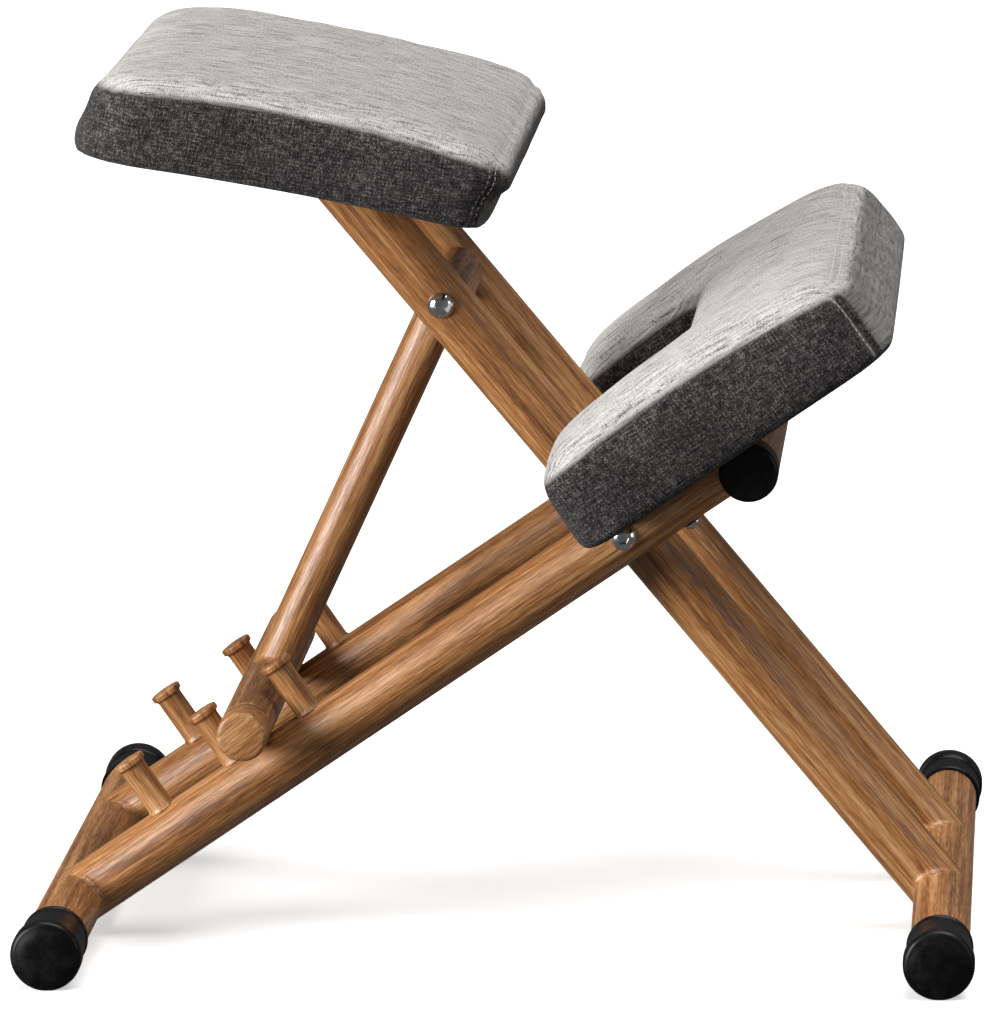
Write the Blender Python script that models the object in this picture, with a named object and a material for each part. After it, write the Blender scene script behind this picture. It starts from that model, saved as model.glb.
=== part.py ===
"""Kneeling chair on a scissor frame of round steel tube, with a padded seat and a padded knee rest.

Metres, +Z up. The origin is on the floor, midway between the two foot bars. +X points to the side that
the sitter faces (the knee rest's side) and +Y to the sitter's left. The knee frame rises from the rear foot
bar to the knee rest, and the seat frame from the front foot bar to the seat. They cross at a bolted pivot on
each side. A strut hangs from the seat rails, and its cross bar stands on the knee rails against two pegs.
"""

import math

import bmesh
import bpy
from mathutils import Matrix, Vector

MM = 0.001

# Frame: overall sizes
FOOT_SPREAD = 567.0 * MM  # rear foot bar's axis to front foot bar's axis
FOOT_BAR_HALF = 262.0 * MM  # middle of the chair to the flat of a foot cap
KNEE_ANGLE = math.radians(34.4)  # knee rails above the floor
SEAT_ANGLE = math.radians(50.3)  # seat rails above the floor, rising to the rear
KNEE_BAR_AHEAD = 101.2 * MM  # pivot to knee cross bar's axis, along the knee rails
KNEE_BAR_HALF = 205.0 * MM
RAIL_GAP = 1.5 * MM  # between a knee rail and the seat rail beside it
SEAT_RAIL_SPACING = 135.8 * MM  # axis to axis
STRUT_BOLT_ABOVE = 187.3 * MM  # pivot to strut bolt, along the seat rails

# Tubes and fits
TUBE_R = 19.0 * MM
TUBE_WALL = 1.5 * MM
STRUT_R = 14.0 * MM
T_BAR_R = 16.4 * MM
T_BAR_HALF = 171.8 * MM
SLEEVE_R = 17.3 * MM
SLEEVE_WALL = 2.0 * MM
FACE_GAP = 0.3 * MM  # left between pieces that touch
RUNNING_GAP = 0.2 * MM  # between a bolt and the bush that turns on it
HOLE_GAP = 0.3 * MM  # between a bolt and its hole

# Pegs that the strut's cross bar rests against
PEG_FIRST = 82.9 * MM  # rear foot bar's axis to the lowest peg
PEG_PITCH = 58.6 * MM
PEG_R = 8.65 * MM
PEG_HEAD_R = 11.0 * MM
PEG_HEAD_T = 5.0 * MM
PEG_HEIGHT = 38.7 * MM  # above the rail's top line
PEG_IN_USE = 1  # the strut's cross bar stands above this peg, counted from 0

# Foot caps and end plugs
CAP_SLEEVE_WALL = 1.3 * MM
CAP_FLANGE = 2.3 * MM  # how far a foot cap's disc stands out from its sleeve
CAP_DISC_T = 15.0 * MM
CAP_DOME = 3.0 * MM
CAP_SLEEVE_LENGTH = 35.0 * MM
TREAD_DEPTH = 0.5 * MM  # flat ground off each foot cap where it stands
BAR_CAP_LENGTH = 22.0 * MM
PLUG_LENGTH = 27.0 * MM
PLUG_RING_T = 3.0 * MM
SPIGOT_LENGTH = 14.0 * MM
CAP_CHAMFER = 2.0 * MM
PLUG_CHAMFER = 2.5 * MM
PLUG_RING_INSET = 0.6 * MM

# Fasteners
PIVOT_BOLT_R = 4.0 * MM
PIVOT_HEAD_R = 8.5 * MM
PIVOT_HEAD_T = 5.0 * MM
NUT_R = 7.5 * MM
NUT_T = 9.0 * MM
WASHER_R = 8.5 * MM
BUSH_R = 7.0 * MM
SLEEVE_BUSH_LENGTH = 10.0 * MM
PAD_BOLT_R = 3.0 * MM
PAD_HEAD_R = 6.0 * MM
PAD_HEAD_T = 4.0 * MM
SOCKET_R = 0.42  # hex socket's corner radius as a share of its head's radius
SOCKET_DEPTH = 0.55  # and its depth as a share of its head's thickness
BOARD_BITE = 0.8  # how much of a board's thickness a screw in it takes up
NUT_BITE = 0.8  # how much of a nut's height its bolt fills
NUT_BORE = 0.85  # and how deep the nut's hole is

# Knee rest, along the knee rails
KNEE_PAD_BEHIND = 13.6 * MM  # pivot back to the knee rest's rear edge
KNEE_PAD_LENGTH = 240.5 * MM
KNEE_PAD_HALF = 238.0 * MM
KNEE_PAD_THICK = 62.5 * MM  # where the top starts to round over, at the middle of the sides
KNEE_PAD_CROWN = 5.0 * MM
KNEE_PAD_BOW = 7.5 * MM  # how far the top bends down at the knee rest's ends
KNEE_PAD_STATIONS = 6
KNEE_PAD_EDGE_R = 16.0 * MM
KNEE_PAD_REAR_CORNER = 32.0 * MM
KNEE_PAD_FRONT_CORNER = 36.0 * MM
NOTCH_CLEARANCE = 9.0 * MM  # between the notch's side and a seat rail
NOTCH_FLARE = 5.0 * MM  # how much further out the notch's side lies at the rear
NOTCH_FRONT = 31.0 * MM  # seat rail's front to the notch's front wall, at the rails' height
NOTCH_CORNER = 30.0 * MM
LOBE_CORNER = 34.0 * MM
RAIL_PAD_BOLT_AHEAD = 40.0 * MM  # from the pivot
BAR_PAD_BOLT_HALF = 60.0 * MM  # from the chair's middle, along the cross bar

# Seat, on a pan that leans forward
PAN_TILT = math.radians(10.4)
PAN_HEIGHT = 480.0 * MM  # seat's underside above the foot bars' axes, at the seat's middle
PAN_BEHIND = 410.0 * MM  # front foot bar's axis back to the seat's middle
SEAT_PAD_HEM = (-146.5 * MM, 124.0 * MM)  # rear and front end of the hem, from the seat's middle
SEAT_PAD_TOP = (-143.0 * MM, 137.0 * MM)  # rear and front end just under the rounded top edge
SEAT_PAD_UPRIGHT = 15.0 * MM  # how far up from the hem the ends stand upright
SEAT_PAD_HALF = 200.0 * MM
SEAT_PAD_EDGE = 57.0 * MM  # thickness where the top starts to round over
SEAT_PAD_CROWN = 2.5 * MM
SEAT_PAD_EDGE_R = 20.0 * MM
SEAT_PAD_REAR_CORNER = 50.0 * MM
SEAT_PAD_FRONT_CORNER = 30.0 * MM
SEAT_PAD_BOW = 11.5 * MM  # how far the top bends down at the seat's ends
BOARD_T = 12.0 * MM
BOARD_INSET = 3.0 * MM
PLATE_T = 3.0 * MM
PLATE_HALF_LENGTH = 70.0 * MM
PLATE_MARGIN = 8.0 * MM  # of the seat plate beyond the seat rails
PLATE_ABOVE_PAD = 1.2 * MM  # seat plate's top above the seat's underside
SCREW_HALF_LENGTH = 48.0 * MM  # seat plate's middle to its screws, along the seat
SCREW_HALF = 32.0 * MM  # chair's middle to the seat plate's screws
CUT_SPARE = 20.0 * MM  # how far a cutter reaches past what it cuts

TUBE_SIDES = 24
STRUT_SIDES = 20
SMALL_SIDES = 14
CORNER_STEPS = 4
EDGE_STEPS = 3
SMOOTH_BELOW = math.radians(35)

WOOD_BROWN = (0.48, 0.25, 0.115)
BLACK = (0.015, 0.015, 0.018)
CHROME = (0.72, 0.72, 0.73)
ZINC = (0.55, 0.56, 0.58)
CLOTH_GREY = (0.27, 0.26, 0.255)
PLY_TAN = (0.62, 0.47, 0.30)
NYLON_WHITE = (0.8, 0.8, 0.78)

# Worked out from the sizes above
CAP_SLEEVE_R = TUBE_R + FACE_GAP + CAP_SLEEVE_WALL
CAP_R = CAP_SLEEVE_R + CAP_FLANGE
AXLE_HEIGHT = CAP_R - TREAD_DEPTH
SEAT_RAIL_Y = SEAT_RAIL_SPACING / 2
KNEE_RAIL_Y = SEAT_RAIL_Y + 2 * TUBE_R + RAIL_GAP
CROSSING_ANGLE = math.pi - KNEE_ANGLE - SEAT_ANGLE
PIVOT_ALONG_KNEE = FOOT_SPREAD * math.sin(SEAT_ANGLE) / math.sin(CROSSING_ANGLE)
PIVOT_ALONG_SEAT = FOOT_SPREAD * math.sin(KNEE_ANGLE) / math.sin(CROSSING_ANGLE)
KNEE_RAIL_LENGTH = PIVOT_ALONG_KNEE + KNEE_BAR_AHEAD
STRUT_BOLT_REACH = PIVOT_ALONG_SEAT + STRUT_BOLT_ABOVE
PEG_POSITIONS = [PEG_FIRST + PEG_PITCH * step for step in range(3)]
T_BAR_ALONG = PEG_POSITIONS[PEG_IN_USE] + PEG_R + FACE_GAP + T_BAR_R
T_BAR_UP = TUBE_R + FACE_GAP + T_BAR_R
KNEE_PAD_UNDER = TUBE_R + 2 * FACE_GAP
KNEE_PAD_REAR = PIVOT_ALONG_KNEE - KNEE_PAD_BEHIND

KNEE_FRAME = Matrix.Translation((-FOOT_SPREAD / 2, 0, AXLE_HEIGHT)) @ Matrix.Rotation(-KNEE_ANGLE, 4, "Y")
SEAT_FRAME = Matrix.Translation((FOOT_SPREAD / 2, 0, AXLE_HEIGHT)) @ Matrix.Rotation(
    SEAT_ANGLE - math.pi, 4, "Y"
)
PAN_MIDDLE = Vector((FOOT_SPREAD / 2 - PAN_BEHIND, 0, AXLE_HEIGHT + PAN_HEIGHT))
PAN_FRAME = Matrix.Translation(PAN_MIDDLE) @ Matrix.Rotation(PAN_TILT, 4, "Y")
PIVOT = KNEE_FRAME @ Vector((PIVOT_ALONG_KNEE, 0, 0))
STRUT_BOLT = SEAT_FRAME @ Vector((STRUT_BOLT_REACH, 0, 0))
T_BAR = KNEE_FRAME @ Vector((T_BAR_ALONG, 0, T_BAR_UP))

SIDES = (("left", 1), ("right", -1))
materials = {}


def material(name, colour, roughness, metallic=0.0):
    """The material of this name, made once."""
    if name not in materials:
        made = bpy.data.materials.new(name)
        made.use_nodes = True
        shader = made.node_tree.nodes["Principled BSDF"]
        shader.inputs["Base Color"].default_value = (*colour, 1)
        shader.inputs["Roughness"].default_value = roughness
        shader.inputs["Metallic"].default_value = metallic
        made.diffuse_color = (*colour, 1)
        materials[name] = made
    return materials[name]


def wood_film():
    return material("wood_film", WOOD_BROWN, 0.42)


def black_plastic():
    return material("black_plastic", BLACK, 0.35)


def chromed_steel():
    return material("chromed_steel", CHROME, 0.2, 1.0)


def zinc_steel():
    return material("zinc_steel", ZINC, 0.4, 1.0)


def plywood():
    return material("plywood", PLY_TAN, 0.7)


def grey_cloth():
    return material("grey_cloth", CLOTH_GREY, 0.95)


def white_nylon():
    return material("white_nylon", NYLON_WHITE, 0.5)


def add_object(name, mesh_builder, place, finish=None, parent=None):
    """Makes an object from a bmesh, places it by its matrix and hangs it on its joint's empty."""
    bmesh.ops.recalc_face_normals(mesh_builder, faces=mesh_builder.faces)
    mesh = bpy.data.meshes.new(name)
    mesh_builder.to_mesh(mesh)
    mesh_builder.free()
    made = bpy.data.objects.new(name, mesh)
    bpy.context.scene.collection.objects.link(made)
    made.matrix_world = place
    if finish:
        mesh.materials.append(finish)
        mesh.shade_smooth()
        mesh.set_sharp_from_angle(angle=SMOOTH_BELOW)
    else:
        made.hide_render = True
        made.display_type = "WIRE"
    if parent:
        made.parent = parent
        made.matrix_parent_inverse = Matrix.Translation(-parent.location)
    return made


def turned_mesh(profile, sides, closed=False):
    """A profile of (radius, height) turned about local Z: closed makes a ring or tube of it."""
    builder = bmesh.new()
    rings = []
    for radius, height in profile:
        if radius:
            angles = [2 * math.pi * i / sides for i in range(sides)]
            points = [(radius * math.cos(a), radius * math.sin(a), height) for a in angles]
        else:
            points = [(0, 0, height)]
        rings.append([builder.verts.new(point) for point in points])
    pairs = list(zip(rings, rings[1:]))
    if closed:
        pairs.append((rings[-1], rings[0]))
    for lower, upper in pairs:
        for i in range(sides):
            following = (i + 1) % sides
            corners = [lower[i % len(lower)], lower[following % len(lower)]]
            corners += [upper[following % len(upper)], upper[i % len(upper)]]
            distinct = list(dict.fromkeys(corners))
            builder.faces.new(distinct)
    return builder


def lofted_mesh(rings):
    """Outlines with the same number of points joined in order, the first and last filled."""
    builder = bmesh.new()
    made = [[builder.verts.new(point) for point in ring] for ring in rings]
    for lower, upper in zip(made, made[1:]):
        for i in range(len(lower)):
            following = (i + 1) % len(lower)
            builder.faces.new([lower[i], lower[following], upper[following], upper[i]])
    builder.faces.new(made[0][::-1])
    builder.faces.new(made[-1])
    return builder


def box_mesh(low, high):
    builder = bmesh.new()
    bmesh.ops.create_cube(builder, size=1)
    for vert in builder.verts:
        vert.co = Vector([low[i] + (vert.co[i] + 0.5) * (high[i] - low[i]) for i in range(3)])
    return builder


def rod_profile(radius, length):
    return [(0, 0), (radius, 0), (radius, length), (0, length)]


def along_y(frame, x, y, z, side=1):
    """A place at this point of a frame whose local Z runs along +Y (side 1) or -Y (side -1)."""
    return frame @ Matrix.Translation((x, y, z)) @ Matrix.Rotation(-side * math.pi / 2, 4, "X")


def cylinder_across(name, frame, x, z, radius, half_length, sides=TUBE_SIDES):
    """A cutter along Y, centred on the chair's middle."""
    builder = turned_mesh(rod_profile(radius, 2 * half_length), sides)
    return add_object(name, builder, along_y(frame, x, -half_length, z))


def cut(target, cutter):
    modifier = target.modifiers.new("cut_" + cutter.name, "BOOLEAN")
    modifier.operation = "DIFFERENCE"
    modifier.solver = "EXACT"
    modifier.object = cutter


def tube_profile(radius, wall, length):
    return [(radius, 0), (radius, length), (radius - wall, length), (radius - wall, 0)]


def bar_across(name, frame, x, z, radius, wall, half_length, sides, parent=None):
    """An open tube along Y, centred on the chair's middle."""
    builder = turned_mesh(tube_profile(radius, wall, 2 * half_length), sides, closed=True)
    return add_object(name, builder, along_y(frame, x, -half_length, z), wood_film(), parent)


def rail(name, frame, y, length, parent=None):
    """An open tube along the frame's local X."""
    builder = turned_mesh(tube_profile(TUBE_R, TUBE_WALL, length), TUBE_SIDES, closed=True)
    place = frame @ Matrix.Translation((0, y, 0)) @ Matrix.Rotation(math.pi / 2, 4, "Y")
    return add_object(name, builder, place, wood_film(), parent)


def socket_bolt(name, place, shaft_r, shaft_length, head_r, head_t, parent=None):
    """A button-head bolt: its shaft runs from local Z 0 downwards, and its domed head stands above."""
    profile = [(0, -shaft_length), (shaft_r, -shaft_length), (shaft_r, 0), (head_r, 0)]
    profile += [(head_r, 0.3 * head_t), (0.86 * head_r, 0.75 * head_t), (0.6 * head_r, head_t), (0, head_t)]
    made = add_object(name, turned_mesh(profile, SMALL_SIDES), place, chromed_steel(), parent)
    depth = SOCKET_DEPTH * head_t
    socket = turned_mesh(rod_profile(SOCKET_R * head_r, depth + CUT_SPARE), 6)
    bottom = place @ Matrix.Translation((0, 0, head_t - depth))
    cut(made, add_object(name + "_socket_cutter", socket, bottom))
    return made


def cap_nut(name, place, parent=None):
    """A domed nut with a blind hole that opens at local Z 0."""
    hole_r = PIVOT_BOLT_R + HOLE_GAP
    hole_depth = NUT_BORE * NUT_T
    profile = [(0, hole_depth), (hole_r, hole_depth), (hole_r, 0), (NUT_R, 0), (NUT_R, 0.6 * NUT_T)]
    profile += [(0.7 * NUT_R, 0.9 * NUT_T), (0, 1.1 * NUT_T)]
    return add_object(name, turned_mesh(profile, SMALL_SIDES), place, chromed_steel(), parent)


def ring(name, place, inner, outer, thickness, finish, parent=None, sides=SMALL_SIDES):
    profile = [(outer, 0), (outer, thickness), (inner, thickness), (inner, 0)]
    return add_object(name, turned_mesh(profile, sides, closed=True), place, finish, parent)


def rounded_outline(corners, inset):
    """A closed outline through (x, y, radius) corners, each rounded, moved inwards by inset.

    The corners run anticlockwise. An inward corner's radius grows with the inset, an outward one's shrinks.
    """
    points = []
    count = len(corners)
    moved = []
    for i in range(count):
        before, here, after = (Vector(corners[(i + k) % count][:2]) for k in (-1, 0, 1))
        into, out = (here - before).normalized(), (after - here).normalized()
        turn = into.cross(out)
        normal_in, normal_out = Vector((-into.y, into.x)), Vector((-out.y, out.x))
        bisector = (normal_in + normal_out).normalized()
        shift = bisector * (inset / bisector.dot(normal_in))
        radius = corners[i][2] - inset if turn > 0 else corners[i][2] + inset
        moved.append((here + shift, into, out, turn, radius))
    for here, into, out, turn, radius in moved:
        bend = math.acos(max(-1, min(1, into.dot(out))))
        reach = radius * math.tan(bend / 2)
        start = here - into * reach
        side = 1 if turn > 0 else -1
        centre = start + side * radius * Vector((-into.y, into.x))
        spoke = start - centre
        for step in range(CORNER_STEPS + 1):
            angle = side * bend * step / CORNER_STEPS
            turned = Matrix.Rotation(angle, 2) @ spoke
            points.append(centre + turned)
    return points


def knee_pad_corners():
    """The knee rest's plan: a rounded rectangle with a notch at its rear for the seat rails."""
    front = KNEE_PAD_REAR + KNEE_PAD_LENGTH
    notch_half = SEAT_RAIL_Y + TUBE_R + NOTCH_CLEARANCE
    notch_front = PIVOT_ALONG_KNEE + TUBE_R + NOTCH_FRONT
    left = [
        (front, KNEE_PAD_HALF, KNEE_PAD_FRONT_CORNER),
        (KNEE_PAD_REAR, KNEE_PAD_HALF, KNEE_PAD_REAR_CORNER),
        (KNEE_PAD_REAR, notch_half + NOTCH_FLARE, LOBE_CORNER),
        (notch_front, notch_half, NOTCH_CORNER),
    ]
    return left + [(x, -y, radius) for x, y, radius in left[::-1]]


def seat_pad_corners(ends):
    """The seat pad's plan where its rear and front end lie at these two places."""
    rear, front = ends
    half = SEAT_PAD_HALF
    return [
        (front, -half, SEAT_PAD_FRONT_CORNER),
        (front, half, SEAT_PAD_FRONT_CORNER),
        (rear, half, SEAT_PAD_REAR_CORNER),
        (rear, -half, SEAT_PAD_REAR_CORNER),
    ]


def ring_at(corners, inset, height):
    return [(point.x, point.y, height) for point in rounded_outline(corners, inset)]


def edge_rounding(radius):
    """(inset, drop below the top) pairs around a rounded top edge."""
    angles = [math.pi / 2 * step / EDGE_STEPS for step in range(EDGE_STEPS + 1)]
    return [(radius * (1 - math.cos(a)), radius * (1 - math.sin(a))) for a in angles]


def board(name, corners, frame, bottom, parent=None):
    rings = [ring_at(corners, BOARD_INSET, bottom + height) for height in (0, BOARD_T)]
    return add_object(name, lofted_mesh(rings), frame, plywood(), parent)


def board_pocket(name, corners, frame, top):
    """The room that a board takes in its cushion, open below."""
    inset = BOARD_INSET - FACE_GAP
    rings = [ring_at(corners, inset, height) for height in (top - BOARD_T - CUT_SPARE, top + FACE_GAP)]
    return add_object(name, lofted_mesh(rings), frame)


def make_foot(name, x, parent=None):
    """A foot bar with its two end caps, which stand on the floor."""
    frame = Matrix.Translation((x, 0, AXLE_HEIGHT))
    bar_half = FOOT_BAR_HALF - CAP_DISC_T - FACE_GAP
    bar_across(name + "_bar", frame, 0, 0, TUBE_R, TUBE_WALL, bar_half, TUBE_SIDES, parent)
    disc = FOOT_BAR_HALF - CAP_DISC_T
    bore = TUBE_R + FACE_GAP
    sleeve_end = disc - CAP_SLEEVE_LENGTH
    profile = [(0, disc), (bore, disc), (bore, sleeve_end), (CAP_SLEEVE_R, sleeve_end)]
    profile += [(CAP_SLEEVE_R, disc - CAP_CHAMFER / 2), (CAP_R, disc), (CAP_R, FOOT_BAR_HALF - CAP_CHAMFER)]
    profile += [(CAP_R - CAP_CHAMFER, FOOT_BAR_HALF), (CAP_R / 2, FOOT_BAR_HALF + 0.75 * CAP_DOME)]
    profile += [(0, FOOT_BAR_HALF + CAP_DOME)]
    floor = box_mesh((-2 * CAP_R, -2 * FOOT_BAR_HALF, -CUT_SPARE), (2 * CAP_R, 2 * FOOT_BAR_HALF, 0))
    floor_cutter = add_object(name + "_floor_cutter", floor, Matrix.Translation((x, 0, 0)))
    for side_name, side in SIDES:
        place = along_y(frame, 0, 0, 0, side)
        builder = turned_mesh(profile, TUBE_SIDES)
        cap = add_object(f"{name}_cap_{side_name}", builder, place, black_plastic(), parent)
        cut(cap, floor_cutter)


def make_peg(name, along, y, rail_cutter):
    """A mushroom-headed peg that stands on a knee rail."""
    top = TUBE_R + PEG_HEIGHT
    head = top - PEG_HEAD_T
    profile = [(0, TUBE_R / 2), (PEG_R, TUBE_R / 2), (PEG_R, head), (PEG_HEAD_R, head + 0.2 * PEG_HEAD_T)]
    profile += [(PEG_HEAD_R, head + 0.6 * PEG_HEAD_T), (0.7 * PEG_HEAD_R, top), (0, top)]
    place = KNEE_FRAME @ Matrix.Translation((along, y, 0))
    cut(add_object(name, turned_mesh(profile, SMALL_SIDES), place, wood_film()), rail_cutter)


def make_knee_frame():
    make_foot("rear_foot", -FOOT_SPREAD / 2)
    foot_cutter = cylinder_across("rear_foot_cutter", KNEE_FRAME, 0, 0, TUBE_R + FACE_GAP, FOOT_BAR_HALF)
    bar_cutter = cylinder_across(
        "knee_bar_cutter", KNEE_FRAME, KNEE_RAIL_LENGTH, 0, TUBE_R + FACE_GAP, FOOT_BAR_HALF
    )
    hole_r = PIVOT_BOLT_R + HOLE_GAP
    pivot_hole = cylinder_across(
        "pivot_hole_cutter", KNEE_FRAME, PIVOT_ALONG_KNEE, 0, hole_r, FOOT_BAR_HALF, SMALL_SIDES
    )
    bolt_along = PIVOT_ALONG_KNEE + RAIL_PAD_BOLT_AHEAD
    knee_board = board("knee_board", knee_pad_corners(), KNEE_FRAME, TUBE_R + FACE_GAP)
    cross_bar = bar_across(
        "knee_cross_bar",
        KNEE_FRAME,
        KNEE_RAIL_LENGTH,
        0,
        TUBE_R,
        TUBE_WALL,
        KNEE_BAR_HALF - BAR_CAP_LENGTH - FACE_GAP,
        TUBE_SIDES,
    )
    for side_name, side in SIDES:
        y = side * KNEE_RAIL_Y
        knee_rail = rail(f"knee_rail_{side_name}", KNEE_FRAME, y, KNEE_RAIL_LENGTH)
        solid = turned_mesh(rod_profile(TUBE_R + FACE_GAP, KNEE_RAIL_LENGTH), TUBE_SIDES)
        along_rail = KNEE_FRAME @ Matrix.Translation((0, y, 0)) @ Matrix.Rotation(math.pi / 2, 4, "Y")
        rail_cutter = add_object(f"rail_{side_name}_cutter", solid, along_rail)
        for peg_name, along in zip(("low", "middle", "high"), PEG_POSITIONS):
            make_peg(f"peg_{peg_name}_{side_name}", along, y, rail_cutter)
        cut(knee_rail, foot_cutter)
        cut(knee_rail, bar_cutter)
        cut(knee_rail, pivot_hole)
        pad_bolt(f"knee_rail_bolt_{side_name}", bolt_along, y, (knee_rail, knee_board))
        pad_bolt(
            f"knee_bar_bolt_{side_name}", KNEE_RAIL_LENGTH, side * BAR_PAD_BOLT_HALF, (cross_bar, knee_board)
        )
        make_bar_cap(side_name, side)
    make_pivot_fasteners()
    make_knee_cushion()


def pad_bolt(name, along, y, through):
    """A bolt from under a tube up into the knee rest's board, and its hole in each piece that it passes."""
    head_at = -TUBE_R - FACE_GAP
    tip = TUBE_R + BOARD_BITE * BOARD_T
    place = KNEE_FRAME @ Matrix.Translation((along, y, head_at)) @ Matrix.Rotation(math.pi, 4, "X")
    socket_bolt(name, place, PAD_BOLT_R, tip - head_at, PAD_HEAD_R, PAD_HEAD_T)
    hole = turned_mesh(rod_profile(PAD_BOLT_R + HOLE_GAP, tip + FACE_GAP + TUBE_R + CUT_SPARE), SMALL_SIDES)
    lowest = Matrix.Translation((along, y, -TUBE_R - CUT_SPARE))
    hole_cutter = add_object(name + "_hole_cutter", hole, KNEE_FRAME @ lowest)
    for piece in through:
        cut(piece, hole_cutter)


def make_bar_cap(side_name, side):
    """A knee cross bar's end cap, with a spigot inside the tube."""
    start = KNEE_BAR_HALF - BAR_CAP_LENGTH
    spigot_r = TUBE_R - TUBE_WALL - FACE_GAP
    profile = [(0, start - SPIGOT_LENGTH), (spigot_r, start - SPIGOT_LENGTH), (spigot_r, start)]
    profile += [(TUBE_R, start), (TUBE_R, KNEE_BAR_HALF - CAP_CHAMFER)]
    profile += [(TUBE_R - CAP_CHAMFER, KNEE_BAR_HALF), (0, KNEE_BAR_HALF + CAP_CHAMFER / 2)]
    place = along_y(KNEE_FRAME, KNEE_RAIL_LENGTH, 0, 0, side)
    add_object(f"knee_bar_cap_{side_name}", turned_mesh(profile, TUBE_SIDES), place, black_plastic())


def make_pivot_fasteners():
    """The bolt, washer and cap nut of each pivot, which stay with the knee frame."""
    outer_face = KNEE_RAIL_Y + TUBE_R + FACE_GAP
    nut_face = SEAT_RAIL_Y - TUBE_R - FACE_GAP
    for side_name, side in SIDES:
        head = along_y(KNEE_FRAME, PIVOT_ALONG_KNEE, side * outer_face, 0, side)
        tip = nut_face - NUT_BITE * NUT_T
        socket_bolt(
            f"pivot_bolt_{side_name}", head, PIVOT_BOLT_R, outer_face - tip, PIVOT_HEAD_R, PIVOT_HEAD_T
        )
        washer_face = SEAT_RAIL_Y + TUBE_R + FACE_GAP
        washer_place = along_y(KNEE_FRAME, PIVOT_ALONG_KNEE, side * washer_face, 0, side)
        washer_t = RAIL_GAP - 2 * FACE_GAP
        ring(
            f"pivot_washer_{side_name}",
            washer_place,
            PIVOT_BOLT_R + HOLE_GAP,
            WASHER_R,
            washer_t,
            white_nylon(),
        )
        nut_place = along_y(KNEE_FRAME, PIVOT_ALONG_KNEE, side * nut_face, 0, -side)
        cap_nut(f"pivot_nut_{side_name}", nut_place)


def make_knee_cushion():
    corners = knee_pad_corners()
    top = KNEE_PAD_UNDER + KNEE_PAD_THICK
    rings = [ring_at(corners, 0, KNEE_PAD_UNDER)]
    rings += [ring_at(corners, inset, top - drop) for inset, drop in edge_rounding(KNEE_PAD_EDGE_R)]
    rings.append(ring_at(corners, 1.8 * KNEE_PAD_EDGE_R, top + KNEE_PAD_CROWN))
    builder = lofted_mesh(rings)
    ends = (KNEE_PAD_REAR, KNEE_PAD_REAR + KNEE_PAD_LENGTH)
    for step in range(1, KNEE_PAD_STATIONS):
        station = KNEE_PAD_REAR + KNEE_PAD_LENGTH * step / KNEE_PAD_STATIONS
        geometry = builder.verts[:] + builder.edges[:] + builder.faces[:]
        bmesh.ops.bisect_plane(builder, geom=geometry, plane_co=(station, 0, 0), plane_no=(1, 0, 0))
    for vert in builder.verts:
        if vert.co.z > top - 1.5 * KNEE_PAD_EDGE_R:
            vert.co.z -= bow(vert.co.x, ends, KNEE_PAD_BOW)
    cushion = add_object("knee_cushion", builder, KNEE_FRAME, grey_cloth())
    board_top = TUBE_R + FACE_GAP + BOARD_T
    cut(cushion, board_pocket("knee_pocket_cutter", corners, KNEE_FRAME, board_top))


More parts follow.
